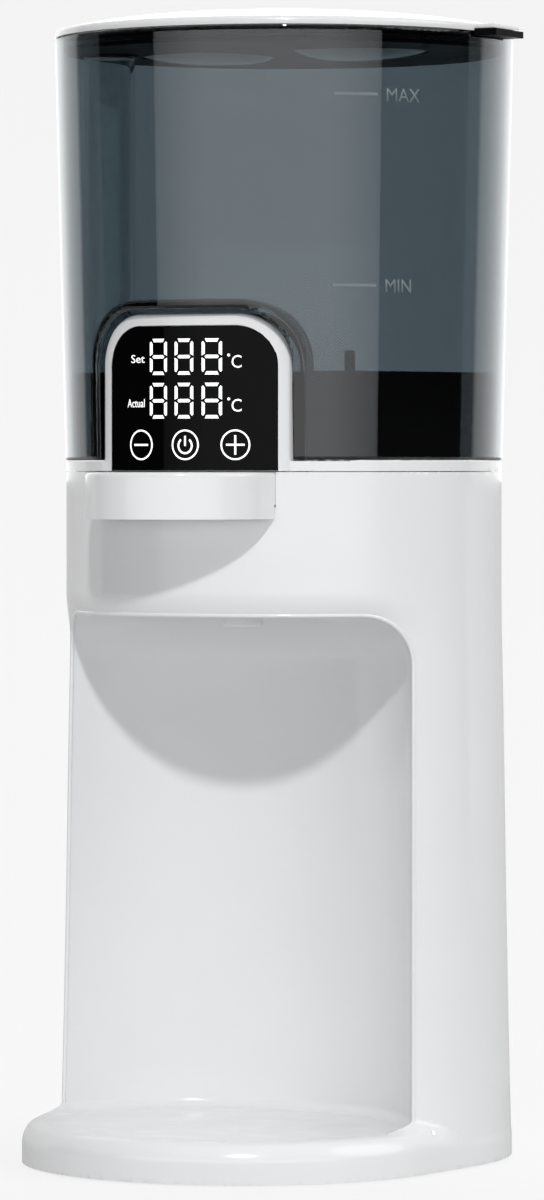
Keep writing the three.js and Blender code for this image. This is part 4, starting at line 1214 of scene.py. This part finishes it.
def sun(name, energy, spread, az, el):
    lamp = bpy.data.lights.new(name, "SUN")
    lamp.energy = energy
    lamp.angle = math.radians(spread)
    ob = bpy.data.objects.new(name, lamp)
    bpy.context.scene.collection.objects.link(ob)
    a, e = math.radians(az), math.radians(el)
    d = side * math.cos(a) + right * math.sin(a)
    ob.rotation_mode = "QUATERNION"
    ob.rotation_quaternion = Vector((d[0] * math.cos(e), d[1] * math.cos(e), math.sin(e))).to_track_quat("Z", "Y")
    return ob


sun("key", 1.27, 3.0, 0, 35.5)
sun("fill_right", 0.70, 40.0, 78, 33)

# Soft light from all round: dark at the sides near the horizon, bright behind the object, mild above.
world = bpy.data.worlds.new("studio")
bpy.context.scene.world = world
world.use_nodes = True
nt = world.node_tree
nt.nodes.clear()
out = nt.nodes.new("ShaderNodeOutputWorld")
bg = nt.nodes.new("ShaderNodeBackground")
tc = nt.nodes.new("ShaderNodeTexCoord")


def world_math(op, a, b=None, clamp=False):
    n = nt.nodes.new("ShaderNodeMath")
    n.operation = op
    n.use_clamp = clamp
    for i, v in enumerate((a, b)):
        if v is None:
            continue
        if isinstance(v, (int, float)):
            n.inputs[i].default_value = v
        else:
            nt.links.new(v, n.inputs[i])
    return n.outputs[0]


def world_ramp(fac, stops):
    r = nt.nodes.new("ShaderNodeValToRGB")
    e = r.color_ramp.elements
    e[0].position, e[0].color = stops[0][0], (stops[0][1],) * 3 + (1,)
    e[1].position, e[1].color = stops[-1][0], (stops[-1][1],) * 3 + (1,)
    for pos, val in stops[1:-1]:
        e.new(pos).color = (val, val, val, 1)
    nt.links.new(fac, r.inputs["Fac"])
    return r.outputs["Color"]


def world_dot(vec):
    n = nt.nodes.new("ShaderNodeVectorMath")
    n.operation = "DOT_PRODUCT"
    nt.links.new(tc.outputs["Generated"], n.inputs[0])
    n.inputs[1].default_value = vec
    return n.outputs["Value"]


tilt = math.radians(5)
aside = side * math.cos(tilt) - right * math.sin(tilt)
toward = world_dot((aside[0], aside[1], 0.0))
height = world_dot((0.0, 0.0, 1.0))
# 0 straight behind the object, 1 towards the camera.
facing = world_math("MULTIPLY_ADD", toward, 0.5)
facing.node.inputs[2].default_value = 0.5
rise = world_math("MULTIPLY_ADD", height, 0.5)
rise.node.inputs[2].default_value = 0.5
round_light = world_ramp(facing, [(0.0, 1.65), (0.08, 1.55), (0.16, 1.2), (0.215, 0.98), (0.243, 0.015), (1.0, 0.015)])
above = world_ramp(rise, [(0.0, 0.12), (0.45, 0.12), (0.50, 0.0), (0.58, 0.0), (0.72, 0.40), (1.0, 0.48)])
both = world_math("MAXIMUM", round_light, above)
nt.links.new(both, bg.inputs["Color"])
bg.inputs["Strength"].default_value = 1.0
nt.links.new(bg.outputs[0], out.inputs["Surface"])

# ---------------------------------------------------------------- camera
cam = bpy.data.cameras.new("camera")
cam.lens = 186.0
cam.sensor_width = 36.0
cam.clip_start, cam.clip_end = 0.05, 50
co = bpy.data.objects.new("camera", cam)
bpy.context.scene.collection.objects.link(co)
co.location = around(0, 2.2816, 0.2536)
aim = Vector((-side[0] - right[0] * 12 / 6200, -side[1] - right[1] * 12 / 6200, -135 / 6200))
co.rotation_mode = "QUATERNION"
co.rotation_quaternion = aim.to_track_quat("-Z", "Y")
bpy.context.scene.camera = co
bpy.context.scene.view_settings.view_transform = "Standard"
bpy.context.scene.view_settings.look = "None"

bpy.context.view_layer.update()
